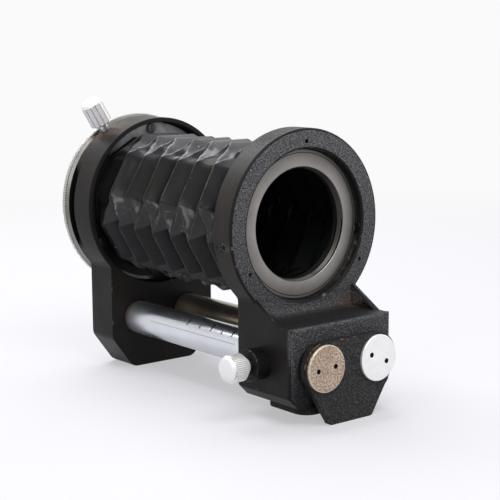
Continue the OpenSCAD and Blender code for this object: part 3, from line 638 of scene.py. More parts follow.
def dress(node, body, slotName, materials, edge=0.25 * mm, segments=2, angle=38, shortest=0.0):
    # a copy of a CAD node with its outer edges broken; the edge strips take the last material
    shape = bmesh.new()
    shape.from_mesh(nodes[node].data)
    bmesh.ops.remove_doubles(shape, verts=shape.verts, dist=0.002 * mm)
    bmesh.ops.dissolve_limit(shape, angle_limit=math.radians(0.5), verts=shape.verts, edges=shape.edges)
    weight = shape.edges.layers.float.new("bevel_weight_edge")
    for item in shape.edges:
        hard = len(item.link_faces) == 2 and item.is_convex and item.calc_face_angle(0) > math.radians(angle)
        item[weight] = 1.0 if hard and item.calc_length() > shortest else 0.0  # small holes stay crisp
    for face in shape.faces:
        face.smooth = True
        face.material_index = 0
    mesh = meshFrom(shape, node + "Dressed")
    for material in materials:
        mesh.materials.append(material)
    piece = link(node + "Dressed", mesh)
    bevel = piece.modifiers.new("brokenEdges", "BEVEL")
    bevel.limit_method = "WEIGHT"
    bevel.width = edge
    bevel.segments = segments
    bevel.use_clamp_overlap = False
    bevel.material = len(materials) - 1
    easeFoldedEdges(piece)
    weighted = piece.modifiers.new("flatFaces", "WEIGHTED_NORMAL")
    weighted.weight = 100
    settle(piece)
    finishPiece(piece, body, slotName, node)
    return piece


def turnedMesh(name, profile, segments, closed=True):
    # turns (radius, height) points round +Z: a closed profile is a ring, an open one has its ends on the axis
    shape = bmesh.new()
    rings = []
    for radius, height in profile:
        if radius < 1e-7:
            rings.append([shape.verts.new((0, 0, height))])
            continue
        rings.append([shape.verts.new((radius * math.cos(math.tau * i / segments),
            radius * math.sin(math.tau * i / segments), height)) for i in range(segments)])
    pairs = list(zip(rings, rings[1:] + rings[:1])) if closed else list(zip(rings, rings[1:]))
    for low, high in pairs:
        for i in range(segments):
            j = (i + 1) % segments
            corners = [low[i % len(low)], low[j % len(low)], high[j % len(high)], high[i % len(high)]]
            shape.faces.new(list(dict.fromkeys(corners)))
    bmesh.ops.recalc_face_normals(shape, faces=shape.faces)
    mesh = meshFrom(shape, name)
    smooth(mesh, 32)
    return mesh


def joined(name, meshes, materials):
    # several meshes as one, each with its place already in its points
    shape = bmesh.new()
    for mesh, index in meshes:
        first = len(shape.faces)
        shape.from_mesh(mesh)
        shape.faces.ensure_lookup_table()
        for face in shape.faces[first:]:
            face.material_index = index
    mesh = meshFrom(shape, name)
    for material in materials:
        mesh.materials.append(material)
    return mesh


def runTree(name, group, values, start=None):
    # one geometry tree on one mesh, with its inputs set before it is first evaluated
    piece = link(name, start or bpy.data.meshes.new(name))
    modifier = piece.modifiers.new(name, "NODES")
    modifier.node_group = group
    for item in group.interface.items_tree:
        if item.item_type == "SOCKET" and item.in_out == "INPUT" and item.name in values:
            modifier[item.identifier] = values[item.name]
    settle(piece)
    mesh = piece.data
    bpy.data.objects.remove(piece)
    return mesh


# where a shape that was made upright round +Z belongs
alongAxis = Matrix.Translation((0, 0, axisHeight)) @ Matrix.Rotation(-math.pi / 2, 4, "X")  # +Z becomes +Y

# geometry trees
def realShape(group, give, shape, material):
    real = make(group, "RealizeInstances", {"Geometry": shape})
    done = make(group, "SetMaterial", {"Geometry": real, "Material": material})
    return close(group, give, Geometry=done)


def knurlTree():
    # straight teeth in a circle round +Z, from height 0 up
    group, take, give = newGroup("knurlTeeth", "Geometry", ("Geometry",), {
        "Count": 36, "Radius": 4.6 * mm, "Depth": 0.4 * mm, "Width": 0.6 * mm, "Length": 6 * mm, "Crest": 0.4,
        "Metal": "Material"})
    size = combined(group, X=times(group, take["Depth"], 2.0), Y=take["Width"], Z=take["Length"])
    tooth = make(group, "MeshCube", {"Size": size})
    place = make(group, "InputPosition")
    outside = sums(group, "GREATER_THAN", make(group, "SeparateXYZ", {"Vector": place}))
    stored = make(group, "StoreNamedAttribute",
        {"Geometry": tooth, "Name": "crest", "Value": outside}, data_type="FLOAT", domain="POINT")
    narrowed = vectorSums(group, "MULTIPLY", place, combined(group, X=1.0, Y=take["Crest"], Z=0.94))
    tapered = make(group, "SetPosition", {"Geometry": stored, "Selection": outside, "Position": narrowed})
    lift = combined(group, Z=times(group, take["Length"], 0.5))
    raised = make(group, "Transform", {"Geometry": tapered, "Translation": lift})
    circle = make(group, "MeshCircle", {"Vertices": take["Count"], "Radius": take["Radius"]})
    share = sums(group, "DIVIDE", make(group, "InputIndex"), take["Count"])
    turn = combined(group, Z=times(group, share, math.tau))
    teeth = make(group, "InstanceOnPoints", {"Points": circle, "Instance": raised, "Rotation": turn})
    return realShape(group, give, teeth, take["Metal"])


def threadTree():
    # a screw thread's ridge: a helix round +Z swept with a four-sided section
    group, take, give = newGroup("threadRidge", "Geometry", ("Geometry",), {
        "Radius": 20 * mm, "Pitch": 1 * mm, "Turns": 4.0, "Height": 0.5 * mm, "Metal": "Material"})
    rise = times(group, take["Pitch"], take["Turns"])
    helix = make(group, "CurveSpiral", {"Resolution": 96, "Rotations": take["Turns"], "Height": rise,
        "Start Radius": take["Radius"], "End Radius": take["Radius"]})
    upright = make(group, "SetCurveNormal", {"Curve": helix}, mode="Z_UP")
    section = make(group, "CurvePrimitiveCircle", {"Resolution": 4, "Radius": take["Height"]})
    ridge = make(group, "CurveToMesh", {"Curve": upright, "Profile Curve": section, "Fill Caps": True})
    flat = make(group, "SetShadeSmooth", {"Geometry": ridge, "Shade Smooth": False})
    return realShape(group, give, flat, take["Metal"])


def scaleTree():
    # engraved marks on a rod along +Y: one arc on each point, long where the point says so
    group, take, give = newGroup("rodScale", "Geometry", ("Geometry",), {
        "Geometry": "Geometry", "Radius": 6.65 * mm, "Start": 0.6, "Long Sweep": 0.4, "Short Sweep": 0.2,
        "Line": 0.2 * mm, "Ink": "Material"})
    kinds = put(group, "GeometryToInstance")
    for sweep in ("Long Sweep", "Short Sweep"):
        arc = make(group, "CurveArc", {"Resolution": 12, "Radius": take["Radius"],
            "Start Angle": take["Start"], "Sweep Angle": take[sweep]})
        section = make(group, "CurvePrimitiveQuadrilateral", {"Width": take["Line"], "Height": take["Line"]})
        strip = make(group, "CurveToMesh", {"Curve": arc, "Profile Curve": section, "Fill Caps": True})
        upright = make(group, "Transform", {"Geometry": strip, "Rotation": (math.pi / 2, 0, 0)})
        group.links.new(upright, kinds.inputs[0])  # the last one linked is instance 0
    isLong = make(group, "InputNamedAttribute", {"Name": "longMark"}, data_type="INT")
    marks = make(group, "InstanceOnPoints", {"Points": take["Geometry"], "Instance": kinds.outputs[0],
        "Pick Instance": True, "Instance Index": isLong})
    return realShape(group, give, marks, take["Ink"])


def foldTree():
    # folds a flat-walled sleeve into pleats: each point carries its own fold direction
    group, take, give = newGroup("bellowsFolds", "Geometry", ("Geometry",), {
        "Geometry": "Geometry", "Pleat Depth": 4.6 * mm, "Crumple": 0.3 * mm, "Crumple Scale": 120.0,
        "Fine Crumple": 0.06 * mm, "Sharp From": 0.3, "Seed": 3.0, "Rounding": 2, "Cloth": "Material"})
    fold = make(group, "InputNamedAttribute", {"Name": "foldWay"}, data_type="FLOAT_VECTOR")
    free = make(group, "InputNamedAttribute", {"Name": "loose"}, data_type="FLOAT")
    offset = scaled(group, fold, times(group, take["Pleat Depth"], 0.5))
    current = make(group, "SetPosition", {"Geometry": take["Geometry"], "Offset": offset})
    place = make(group, "InputPosition")
    blurred = make(group, "BlurAttribute", {"Value": place, "Iterations": take["Rounding"], "Weight": 0.8},
        data_type="FLOAT_VECTOR")
    current = make(group, "SetPosition", {"Geometry": current, "Position": blurred,
        "Selection": sums(group, "GREATER_THAN", free, 0.01)})
    fineScale = times(group, take["Crumple Scale"], 4.0)
    for amount, scale in (("Crumple", take["Crumple Scale"]), ("Fine Crumple", fineScale)):
        cloud = put(group, "TexNoise", {"Vector": place, "W": take["Seed"], "Scale": scale, "Detail": 2.0},
            noise_dimensions="4D").outputs["Color"]
        centred = vectorSums(group, "SUBTRACT", cloud, (0.5, 0.5, 0.5))
        push = scaled(group, centred, times(group, times(group, take[amount], 2.0), free))
        current = make(group, "SetPosition", {"Geometry": current, "Offset": push})
    soft = make(group, "SetShadeSmooth", {"Geometry": current, "Shade Smooth": True})
    bend = make(group, "InputMeshEdgeAngle")
    creased = make(group, "SetShadeSmooth", {"Geometry": soft, "Shade Smooth": False,
        "Selection": sums(group, "GREATER_THAN", bend, take["Sharp From"])}, domain="EDGE")
    return realShape(group, give, creased, take["Cloth"])


knurl = knurlTree()
thread = threadTree()
rodScale = scaleTree()
folds = foldTree()
print("geometry trees ready")


castEdges = {"rear": 0.4 * mm, "front": 0.8 * mm, "plate": 0.35 * mm, "bush": 0.3 * mm, "shortest": 0.3 * mm}

for node, body, slotName, finishes, size, segments in (
    ("rear_standard", "frame", "satin_black", ("rear", "satinEdge"), "rear", 3),
    ("front_standard", "carriage", "crackle_black", ("crackle", "crackleEdge"), "front", 3),
    ("end_plate", "frame", "satin_black", ("plate", "plateEdge"), "plate", 2),
):
    dress(node, body, slotName, [paint[finish] for finish in finishes], castEdges[size], segments,
        shortest=castEdges["shortest"])
dress("clamp_bush", "carriage", "satin_black", [paint["gloss"], paint["bushEdge"]], castEdges["bush"])
print("castings dressed")

# node, body, slot, finish and width of the broken edges
for node, body, slotName, finish, edge in (
    ("rod_left", "frame", "chrome", "chrome", 0.3), ("rod_right", "frame", "chrome", "chromeWarm", 0.3),
    ("rear_disc", "frame", "grey_plate", "greyPlate", 0.1),
    ("bellows_rear_frame", "frame", "black_frame", "blackFrame", 0.15),
    ("bellows_front_frame", "carriage", "black_frame", "blackFrame", 0.15),
    ("tripod_bush", "carriage", "screw_steel", "steel", 0.2),
    ("rear_frame_screws", "frame", "screw_steel", "darkSteel", 0.08),
    ("front_frame_screws", "carriage", "screw_steel", "darkSteel", 0.08),
    ("camera_thread_screws", "camera_ring", "screw_steel", "steel", 0.08),
    ("rear_rod_screws", "frame", "screw_steel", "steel", 0.08),
    ("lens_ring_screws", "carriage", "brass", "grub", 0.08),
):
    dress(node, body, slotName, [paint[finish]], edge * mm)

caps = {
    "face": -123.3 * mm, "holeReach": 4 * mm, "holeRadius": 0.9 * mm, "edge": 0.14 * mm,
    # node, slot, finishes, place of the middle, how far the line of holes leans
    "pair": (
        ("rod_cap_left", "aged_cap", ("agedCap", "ink", "agedRim"), (-12.55 * mm, 21 * mm), 5.0),
        ("rod_cap_right", "silver_cap", ("silverCap", "ink", "silverRim"), (12.55 * mm, 21 * mm), -23.6),
    ),
}


def dressCaps(s):
    for node, slotName, finishes, (x, z), lean in s["pair"]:
        piece = dress(node, "frame", slotName, [paint[finish] for finish in finishes], s["edge"], angle=25)
        line = s["holeReach"] * Vector((math.cos(math.radians(lean)), math.sin(math.radians(lean))))
        for face in piece.data.polygons:
            place = Vector((face.center.x - x, face.center.z - z))
            gap = min((place - line).length, (place + line).length)
            if gap < s["holeRadius"] + 0.02 * mm and face.center.y > s["face"] + 0.05 * mm:
                face.material_index = 1  # painted shade: the spanner holes take the dark ink


dressCaps(caps)
for node, finish in (  # inside or nearly hidden: the solid's own mesh
    ("clamp_pad", "brass"), ("lock_pad", "brass"), ("clamp_screw", "steel"), ("lock_screw", "smallChrome"),
    ("retaining_ring", "sleeve"), ("ring_sleeve", "sleeve"),
):
    nodes[node].data.materials.clear()
    nodes[node].data.materials.append(paint[finish])
print("fittings dressed")

scaleMarks = {
    "places": (-48.2, -56.2, -63.1, -69.7, -76.0),  # millimetres along the left rod, every other one long
    "surface": 6.665 * mm,
    "start": 36.0,        # degrees up from the left
    "longSweep": 31.0,
    "shortSweep": 15.0,
    "line": 0.6 * mm,     # only its outermost 0.015 mm stands out of the rod
    "ruleLine": 0.11 * mm,
    "rod": (-12.55 * mm, 21.0 * mm),
    "ruleAngle": 16.7,    # the long line that the marks' indicator runs on
    "ruleSpan": (-79.2, -24.6),
}


def engraveScale(s):
    points = bpy.data.meshes.new("scalePoints")
    x, z = s["rod"]
    points.from_pydata([(x, place * mm, z) for place in s["places"]], [], [])
    kinds = points.attributes.new("longMark", "INT", "POINT")
    kinds.data.foreach_set("value", [1 - i % 2 for i in range(len(s["places"]))])
    # an arc drawn in XY and turned upright counts its angle from +X towards +Z
    marks = runTree("scaleMarks", rodScale, {
        "Radius": s["surface"] - s["line"] / 2, "Start": math.radians(180 - s["start"]),
        "Long Sweep": -math.radians(s["longSweep"]), "Short Sweep": -math.radians(s["shortSweep"]),
        "Line": s["line"], "Ink": paint["ink"]}, points)
    angle = math.radians(180 - s["ruleAngle"])
    reach = s["surface"] - s["ruleLine"] / 2
    centre = Vector((x + reach * math.cos(angle), 0, z + reach * math.sin(angle)))
    shape = bmesh.new()
    bmesh.ops.create_cube(shape, size=1)
    low, high = (place * mm for place in s["ruleSpan"])
    size = Matrix.Diagonal((s["ruleLine"], high - low, s["ruleLine"], 1))
    shape.transform(Matrix.Translation(centre + Vector((0, (low + high) / 2, 0))) @ size)
    mesh = joined("rodScaleMarks", [(marks, 0), (meshFrom(shape, "scaleRule"), 0)], [paint["ink"]])
    finishPiece(link("rodScaleMarks", mesh), "frame", "black_frame")


engraveScale(scaleMarks)
print("scale engraved")

lensRing = {
    "outer": 27.35 * mm, "front": -94.8 * mm, "seat": -91.4 * mm, "barrel": 23.9 * mm, "end": -89.0 * mm,
    "wall": 20.98 * mm, "mouth": 0.2 * mm, "break": 0.18 * mm,
    "groove": (26.05 * mm, 26.3 * mm), "grooveDepth": 0.22 * mm, "threadStart": 0.55 * mm,
    "pitch": 1.0 * mm, "turns": 2.7, "blackTurns": 1.9, "height": 0.52 * mm,
}


def makeLensRing(s):
    b, front, seat, end = s["break"], s["front"], s["seat"], s["end"]
    inner, outer = s["groove"]
    bottom = front + s["grooveDepth"]
    profile = [
        (s["wall"] + s["mouth"], front), (inner, front), (inner, bottom), (outer, bottom), (outer, front),
        (s["outer"] - b, front), (s["outer"], front + b), (s["outer"], seat),
        (s["barrel"], seat), (s["barrel"], end - b), (s["barrel"] - b, end), (s["wall"], end),
        (s["wall"], seat), (s["wall"], front + s["mouth"]),
    ]
    ring = turnedMesh("lensRingBody", profile, 256)
    ridges = []
    starts = (("lensThread", front + s["threadStart"], s["turns"]), ("blackFrame", seat, s["blackTurns"]))
    for metal, start, turns in starts:
        ridge = runTree("lensThread", thread, {"Radius": s["wall"], "Pitch": s["pitch"], "Turns": turns,
            "Height": s["height"], "Metal": paint[metal]})
        ridge.transform(Matrix.Translation((0, 0, start)))
        ridges.append(ridge)
    materials = [paint[name] for name in ("lens", "lensEdge", "lensThread", "blackFrame", "groove")]
    mesh = joined("lensRing", [(ring, 0), (ridges[0], 2), (ridges[1], 3)], materials)
    for face in mesh.polygons:
        if face.material_index:
            continue
        middle = math.hypot(face.center.x, face.center.y)
        if inner - 0.01 * mm < middle < outer + 0.01 * mm and face.center.z < bottom + 0.01 * mm:
            face.material_index = 4
        elif abs(face.normal.z + 0.7) < 0.12 and face.center.z < front + 0.5 * mm:
            face.material_index = 1  # the mouth's chamfer and the outer break take a darker, glossier copy of the turned metal as painted shade
        elif middle < s["wall"] + 0.1 * mm:
            face.material_index = 2 if face.center.z < seat else 3
    mesh.transform(alongAxis)
    finishPiece(link("lensRing", mesh), "carriage", "grey_metal", "lens_ring")


makeLensRing(lensRing)
print("lens ring turned")

cameraRing = {
    "core": 36.0 * mm, "bore": 22.52 * mm, "front": 8.7 * mm, "back": 12.4 * mm,
    "edge": 0.3 * mm, "bevel": 0.9 * mm, "teeth": 352, "depth": 0.4 * mm, "width": 0.54 * mm, "crest": 0.5,
    "collar": 20.9 * mm, "collarFrom": 13.85 * mm, "collarSpan": (20.5 * mm, 21.2 * mm), "pitch": 1.0 * mm,
    "threadCore": 20.38 * mm, "threadStart": 14.35 * mm, "threadTurns": 4.1, "threadHeight": 0.5 * mm,
}


def makeCameraRing(s):
    e, bevel = s["edge"], s["bevel"]
    profile = [
        (s["bore"], s["front"]), (s["core"] - bevel, s["front"]), (s["core"], s["front"] + bevel),
        (s["core"], s["back"] - e), (s["core"] - e, s["back"]), (s["bore"], s["back"]),
    ]
    body = turnedMesh("knurledRingBody", profile, 256)
    length = s["back"] - s["front"] - bevel - e
    teeth = runTree("ringTeeth", knurl, {"Count": s["teeth"], "Radius": s["core"], "Depth": s["depth"],
        "Width": s["width"], "Length": length, "Crest": s["crest"], "Metal": paint["knurl"]})
    teeth.transform(Matrix.Translation((0, 0, s["front"] + bevel)))
    materials = [paint[name] for name in ("knurl", "ringFace", "sleeve")]
    mesh = joined("knurledRing", [(body, 1), (teeth, 0)], materials)
    for face in mesh.polygons:
        if face.material_index == 1 and face.normal.z < -0.95:
            face.material_index = 2  # the face towards the rear standard takes the dark sleeve metal
    mesh.transform(alongAxis)
    finishPiece(link("knurledRing", mesh), "camera_ring", "chrome", "mount_ring")


def threadFlange(s):
    # the flange keeps its CAD shape, and its collar shrinks to the thread's core
    piece = dress("camera_thread", "camera_ring", "chrome", [paint["thread"]], 0.12 * mm)
    mesh = piece.data
    for point in mesh.vertices:
        x, z = point.co.x, point.co.z - axisHeight
        radius = math.hypot(x, z)
        low, high = s["collarSpan"]
        if point.co.y > s["collarFrom"] and low < radius < high:
            share = (radius - s["collar"] + s["threadCore"]) / radius
            point.co = (x * share, point.co.y, axisHeight + z * share)
    ridge = runTree("cameraThreadRidge", thread, {"Radius": s["threadCore"], "Pitch": s["pitch"],
        "Turns": s["threadTurns"], "Height": s["threadHeight"], "Metal": paint["thread"]})
    ridge.transform(Matrix.Translation((0, 0, s["threadStart"])))
    ridge.transform(alongAxis)
    finishPiece(link("cameraThreadRidge", ridge), "camera_ring", "chrome")


makeCameraRing(cameraRing)
threadFlange(cameraRing)
print("camera ring made")

# sizes and places of both knobs are in millimetres
clampKnob = {
    "name": "clampKnob", "body": "clamp", "node": "clamp_knob",
    "profile": [(0, -2.0), (2.9, -2.0), (3.2, -1.7), (3.2, 0), (4.3, 0), (4.62, 0.3), (4.64, 5.62),
        (4.62, 5.86), (4.72, 5.98), (4.62, 6.3), (4.3, 6.7), (3.8, 6.98), (3.0, 7.2), (1.5, 7.4), (0, 7.44)],
    "teeth": 44, "toothRadius": 4.66, "depth": 0.33, "width": 0.56, "crest": 0.74,
    "from": 0.25, "length": 5.45, "grime": (5.65, 6.0), "metals": ("knob", "knobFace", "knobRim"),
    "place": (-33.4, -101.4, 21.0), "way": (-1.0, 0.0, 0.0),
}
lockKnob = {
    "name": "lockKnob", "body": "ring_lock", "node": "lock_knob",
    "profile": [(0, 0), (3.6, 0), (4.0, 0.4), (4.1, 9.2), (4.4, 9.3), (4.44, 9.6), (4.3, 10.1), (3.85, 10.65),
        (3.1, 11.05), (1.6, 11.27), (0, 11.34)],
    "teeth": 13, "toothRadius": 4.12, "depth": 0.33, "width": 1.9, "crest": 0.82, "from": 0.4, "length": 8.85,
    "grime": (0, 0), "metals": ("lockKnob", "knobFace", "knobRim"),
    "place": (0.0, 6.0, 67.6), "way": (-0.519519, 0.0, 0.854459), "standOff": 38.6,
}


def makeKnob(s):
    profile = [(radius * mm, height * mm) for radius, height in s["profile"]]
    body = turnedMesh(s["name"] + "Body", profile, 96, closed=False)
    teeth = runTree(s["name"] + "Teeth", knurl, {"Count": s["teeth"], "Radius": s["toothRadius"] * mm,
        "Depth": s["depth"] * mm, "Width": s["width"] * mm, "Length": s["length"] * mm, "Crest": s["crest"],
        "Metal": paint[s["metals"][0]]})
    teeth.transform(Matrix.Translation((0, 0, s["from"] * mm)))
    mesh = joined(s["name"], [(body, 1), (teeth, 0)], [paint[metal] for metal in s["metals"]])
    limit = s["toothRadius"] * mm - 0.15 * mm
    top = (s["from"] + s["length"]) * mm
    low, high = (height * mm for height in s["grime"])
    for face in mesh.polygons:  # the grooves' floor belongs to the knurling, and dirt gathers at its end
        middle = math.hypot(face.center.x, face.center.y)
        if middle > limit and low < face.center.z < high:
            face.material_index = 2
        elif middle > limit and abs(face.normal.z) < 0.3 and face.center.z < top:
            face.material_index = 0
    way = Vector(s["way"])
    start = (Vector(s["place"]) + way * s.get("standOff", 0.0)) * mm
    mesh.transform(Matrix.Translation(start) @ way.to_track_quat("Z", "Y").to_matrix().to_4x4())
    finishPiece(link(s["name"], mesh), s["body"], "chrome", s["node"])


for settings in (clampKnob, lockKnob):
    makeKnob(settings)
print("knobs knurled")

bellowsCloth = {
    "front": -88.4 * mm, "back": -1.0 * mm, "halfPleats": 15,
    "ridge": 28.69 * mm,      # from the axis to an outward fold on a flat side
    "halfSide": 8.771 * mm,
    "pleatDepth": 4.6 * mm,
    # where the lattice is cut along a pleat, round a flat side and round a corner
    "steps": (0.0, 0.045, 0.11, 0.22, 0.36, 0.5, 0.64, 0.78, 0.89, 0.955, 1.0),
    "sideSteps": (0.0, 0.03, 0.06, 0.14, 0.26, 0.42, 0.58, 0.74, 0.86, 0.94, 0.97, 1.0),
    "cornerSteps": tuple(i / 16 for i in range(17)),
    "card": 0.24 * mm,        # the stiff cards under the cloth stand out this much
    "foldSpread": 0.1, "ringShift": 0.42 * mm, "cornerShift": 0.3 * mm,
    "sideBulge": 0.35 * mm,
    "cornerCuts": 4, "cornerDent": 1.5 * mm, "rimDent": 0.6 * mm, "cornerCrumple": 1.6,
    "crumple": 0.2 * mm, "crumpleScale": 100.0, "fineCrumple": 0.07 * mm, "sharpFrom": 11.0,
    "ridgeWidth": 0.05, "hollowWidth": 0.3,
    "cloth": 0.6 * mm, "seed": 11, "rounding": 1,
}


def facetField(u, v, grid, crossed):
    # straight over each triangle between the grid's points
    a, b = u * (grid.shape[1] - 1), v * (grid.shape[0] - 1)
    i, j = np.minimum(a.astype(int), grid.shape[1] - 2), np.minimum(b.astype(int), grid.shape[0] - 2)
    a, b = a - i, b - j
    low, right, high, far = grid[j, i], grid[j, i + 1], grid[j + 1, i], grid[j + 1, i + 1]
    along = np.where(a >= b, low + a * (right - low) + b * (far - right),
        low + b * (high - low) + a * (far - high))
    over = np.where(a + b <= 1, low + a * (right - low) + b * (high - low),
        far + (1 - a) * (high - far) + (1 - b) * (right - far))
    return np.where(crossed[j, i], over, along)


def bellowsSleeve(s):
    # the unfolded sleeve as a closed lattice, with the way and share that each point folds
    draw = np.random.default_rng(s["seed"])
    pleats, steps = s["halfPleats"], np.array(s["steps"])
    sideSteps, cornerSteps = np.array(s["sideSteps"]), np.array(s["cornerSteps"])
    cuts, sideCuts = len(steps) - 1, len(sideSteps) - 1
    pairCuts = sideCuts + len(cornerSteps) - 1
    middle = s["ridge"] - s["pleatDepth"] / 2
    angle = np.radians(90 + 60 * np.arange(6))
    outward = np.stack([np.cos(angle), np.sin(angle)], 1)
    along = np.stack([-np.sin(angle), np.cos(angle)], 1)
    # each corner of each ring holds x, y, z, fold x, fold z and which way it folds
    corners = np.zeros((pleats + 1, 12, 6))
    for i in range(pleats + 1):
        y = s["front"] + (s["back"] - s["front"]) * i / pleats
        level = i in (0, pleats)
        for k in range(6):
            way = 0.0 if level else (1.0 if i % 2 == k % 2 else -1.0)
            for end in (0, 1):
                spread = 1 + s["foldSpread"] * draw.uniform(-1, 1)
                shift = 0.0 if level else s["ringShift"] * draw.uniform(-1, 1)
                slide = s["halfSide"] * (2 * end - 1) + s["cornerShift"] * draw.uniform(-1, 1)
                flat = middle * outward[k] + slide * along[k]
                corners[i, 2 * k + end] = [flat[0], y + shift, flat[1] + axisHeight,
                    way * spread * outward[k, 0], way * spread * outward[k, 1], way]
    rows, columns, cornerCuts = pleats * cuts + 1, 6 * pairCuts, s["cornerCuts"]
    rims = np.zeros((pleats + 1, 6, cornerCuts + 1))
    rims[1:-1, :, 1:-1] = draw.uniform(-1, 1, (pleats - 1, 6, cornerCuts - 1)) * s["rimDent"]
    lattice = np.zeros((rows, columns, 6))
    push, ridge, hollow, cast = (np.zeros((rows, columns)) for _ in range(4))
    loose = np.ones((rows, columns))
    across = np.zeros((rows, columns), bool)
    for i in range(pleats):
        for j in range(12):
            ring = sideSteps if j % 2 == 0 else cornerSteps
            u, v = np.meshgrid(ring, steps)  # u round the sleeve, v along it
            a, b = corners[i, j], corners[i, (j + 1) % 12]
            c, d = corners[i + 1, j], corners[i + 1, (j + 1) % 12]
            isCorner = j % 2 == 1
            forward = (not isCorner) or ((i % 2 == 0) == ((j // 2) % 2 == 0))
            if forward:
                first = u >= v
                wa, wd = np.where(first, 1 - u, 1 - v), np.where(first, v, u)
                wb, wc = np.where(first, u - v, 0), np.where(first, 0, v - u)
            else:
                first = u + v <= 1
                wa, wd = np.where(first, 1 - u - v, 0), np.where(first, 0, u + v - 1)
                wb, wc = np.where(first, u, 1 - v), np.where(first, v, 1 - u)
            values = sum(w[..., None] * corner for w, corner in ((wa, a), (wb, b), (wc, c), (wd, d)))
            rowSpan = slice(i * cuts, i * cuts + cuts + 1)
            firstColumn = j // 2 * pairCuts + j % 2 * sideCuts
            columnSpan = (firstColumn + np.arange(len(ring))) % columns
            lattice[rowSpan, columnSpan] = values
            bubble = 16 * u * (1 - u) * v * (1 - v)
            if isCorner:
                inside = np.zeros(cornerCuts + 1)
                inside[1:-1] = draw.uniform(-1.0, 0.35, cornerCuts - 1) * s["cornerDent"]
                grid = np.stack([rims[i, j // 2], inside, rims[i + 1, j // 2]])
                crossed = draw.uniform(0, 1, (2, cornerCuts)) < 0.5
                swing = facetField(u, v, grid, crossed)
                offLine = np.abs(u - v) if forward else np.abs(u + v - 1)
                # the corners' crease lines also get ridge wear and a painted highlight
                crest = np.exp(-(offLine / s["ridgeWidth"]) ** 2) * draw.uniform(0.4, 0.85)
                trough = 0 * u
                tone = draw.uniform(0.0, 0.5)
                inner = np.minimum(1, 12 * bubble)
                fresh = loose[rowSpan, columnSpan] <= 1
                loose[rowSpan, columnSpan] += (s["cornerCrumple"] - 1) * inner * fresh
                push[rowSpan, columnSpan] = 0
            else:
                card = 1.0
                for w, cut in ((v, steps), (u, sideSteps)):
                    card = card * np.clip((np.minimum(w, 1 - w) - cut[1]) / (cut[2] - cut[1]), 0, 1)
                swing = bubble * s["sideBulge"] * draw.uniform(-1.0, 0.6) + s["card"] * card
                ends = (np.exp(-(v / s["ridgeWidth"]) ** 2), np.exp(-((1 - v) / s["ridgeWidth"]) ** 2))
                # ridge: the outward folds, which get wear and a painted highlight
                crest = ends[0] * max(a[5], 0) + ends[1] * max(c[5], 0)
                # hollow: the inward folds, where the cloth gets painted shade
                trough = np.exp(-v / s["hollowWidth"]) * max(-a[5], 0) * draw.uniform(0.4, 1)
                trough = trough + np.exp(-(1 - v) / s["hollowWidth"]) * max(-c[5], 0) * draw.uniform(0.4, 1)
                tone = draw.uniform(0.0, 1.0) * (1.0 if j // 2 in (0, 1) else 0.45)
            for field, values in ((ridge, crest), (hollow, trough), (cast, tone + 0 * u)):
                field[rowSpan, columnSpan] = np.maximum(field[rowSpan, columnSpan], values)
            push[rowSpan, columnSpan] += swing
            across[i * cuts:(i + 1) * cuts, firstColumn:firstColumn + len(ring) - 1] = not forward
    x, z = lattice[..., 0], lattice[..., 2] - axisHeight
    length = np.hypot(x, z)
    lattice[..., 0] += push * x / length
    lattice[..., 2] += push * z / length
    loose[0] = loose[-1] = 0
    r, c = np.meshgrid(np.arange(rows - 1), np.arange(columns), indexing="ij")
    lower, nextLower = r * columns + c, r * columns + (c + 1) % columns
    upper, nextUpper = lower + columns, nextLower + columns
    turned = across[:-1, :, None]
    halves = []
    for leaning, straight in (((lower, upper, nextLower), (lower, nextUpper, nextLower)),
        ((nextLower, upper, nextUpper), (lower, upper, nextUpper))):
        halves.append(np.where(turned, np.stack(leaning, -1), np.stack(straight, -1)).reshape(-1, 3))
    faces = np.concatenate(halves)
    mesh = bpy.data.meshes.new("bellowsSleeve")
    mesh.from_pydata(lattice[..., :3].reshape(-1, 3).tolist(), [], faces.tolist())
    ways = np.zeros((rows * columns, 3))
    ways[:, 0] = lattice[..., 3].ravel()
    ways[:, 2] = lattice[..., 4].ravel()
    mesh.attributes.new("foldWay", "FLOAT_VECTOR", "POINT").data.foreach_set("vector", ways.ravel())
    for label, field in (("loose", loose), ("ridge", ridge), ("hollow", hollow), ("cast", cast)):
        mesh.attributes.new(label, "FLOAT", "POINT").data.foreach_set("value", field.ravel())
    return mesh


def makeBellows(s):
    mesh = runTree("bellowsCloth", folds, {
        "Pleat Depth": s["pleatDepth"], "Crumple": s["crumple"], "Crumple Scale": s["crumpleScale"],
        "Fine Crumple": s["fineCrumple"], "Sharp From": math.radians(s["sharpFrom"]),
        "Seed": float(s["seed"]), "Rounding": s["rounding"], "Cloth": paint["cloth"],
    }, bellowsSleeve(s))
    if len(mesh.materials) == 1:
        mesh.materials.append(paint["lining"])
    piece = link("bellowsCloth", mesh)
    wall = piece.modifiers.new("clothThickness", "SOLIDIFY")
    wall.thickness = s["cloth"]
    wall.offset = -1
    wall.material_offset = 1
    settle(piece)
    finishPiece(piece, "frame", "bellows_cloth", "bellows")
    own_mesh(piece)


makeBellows(bellowsCloth)
print("bellows folded")

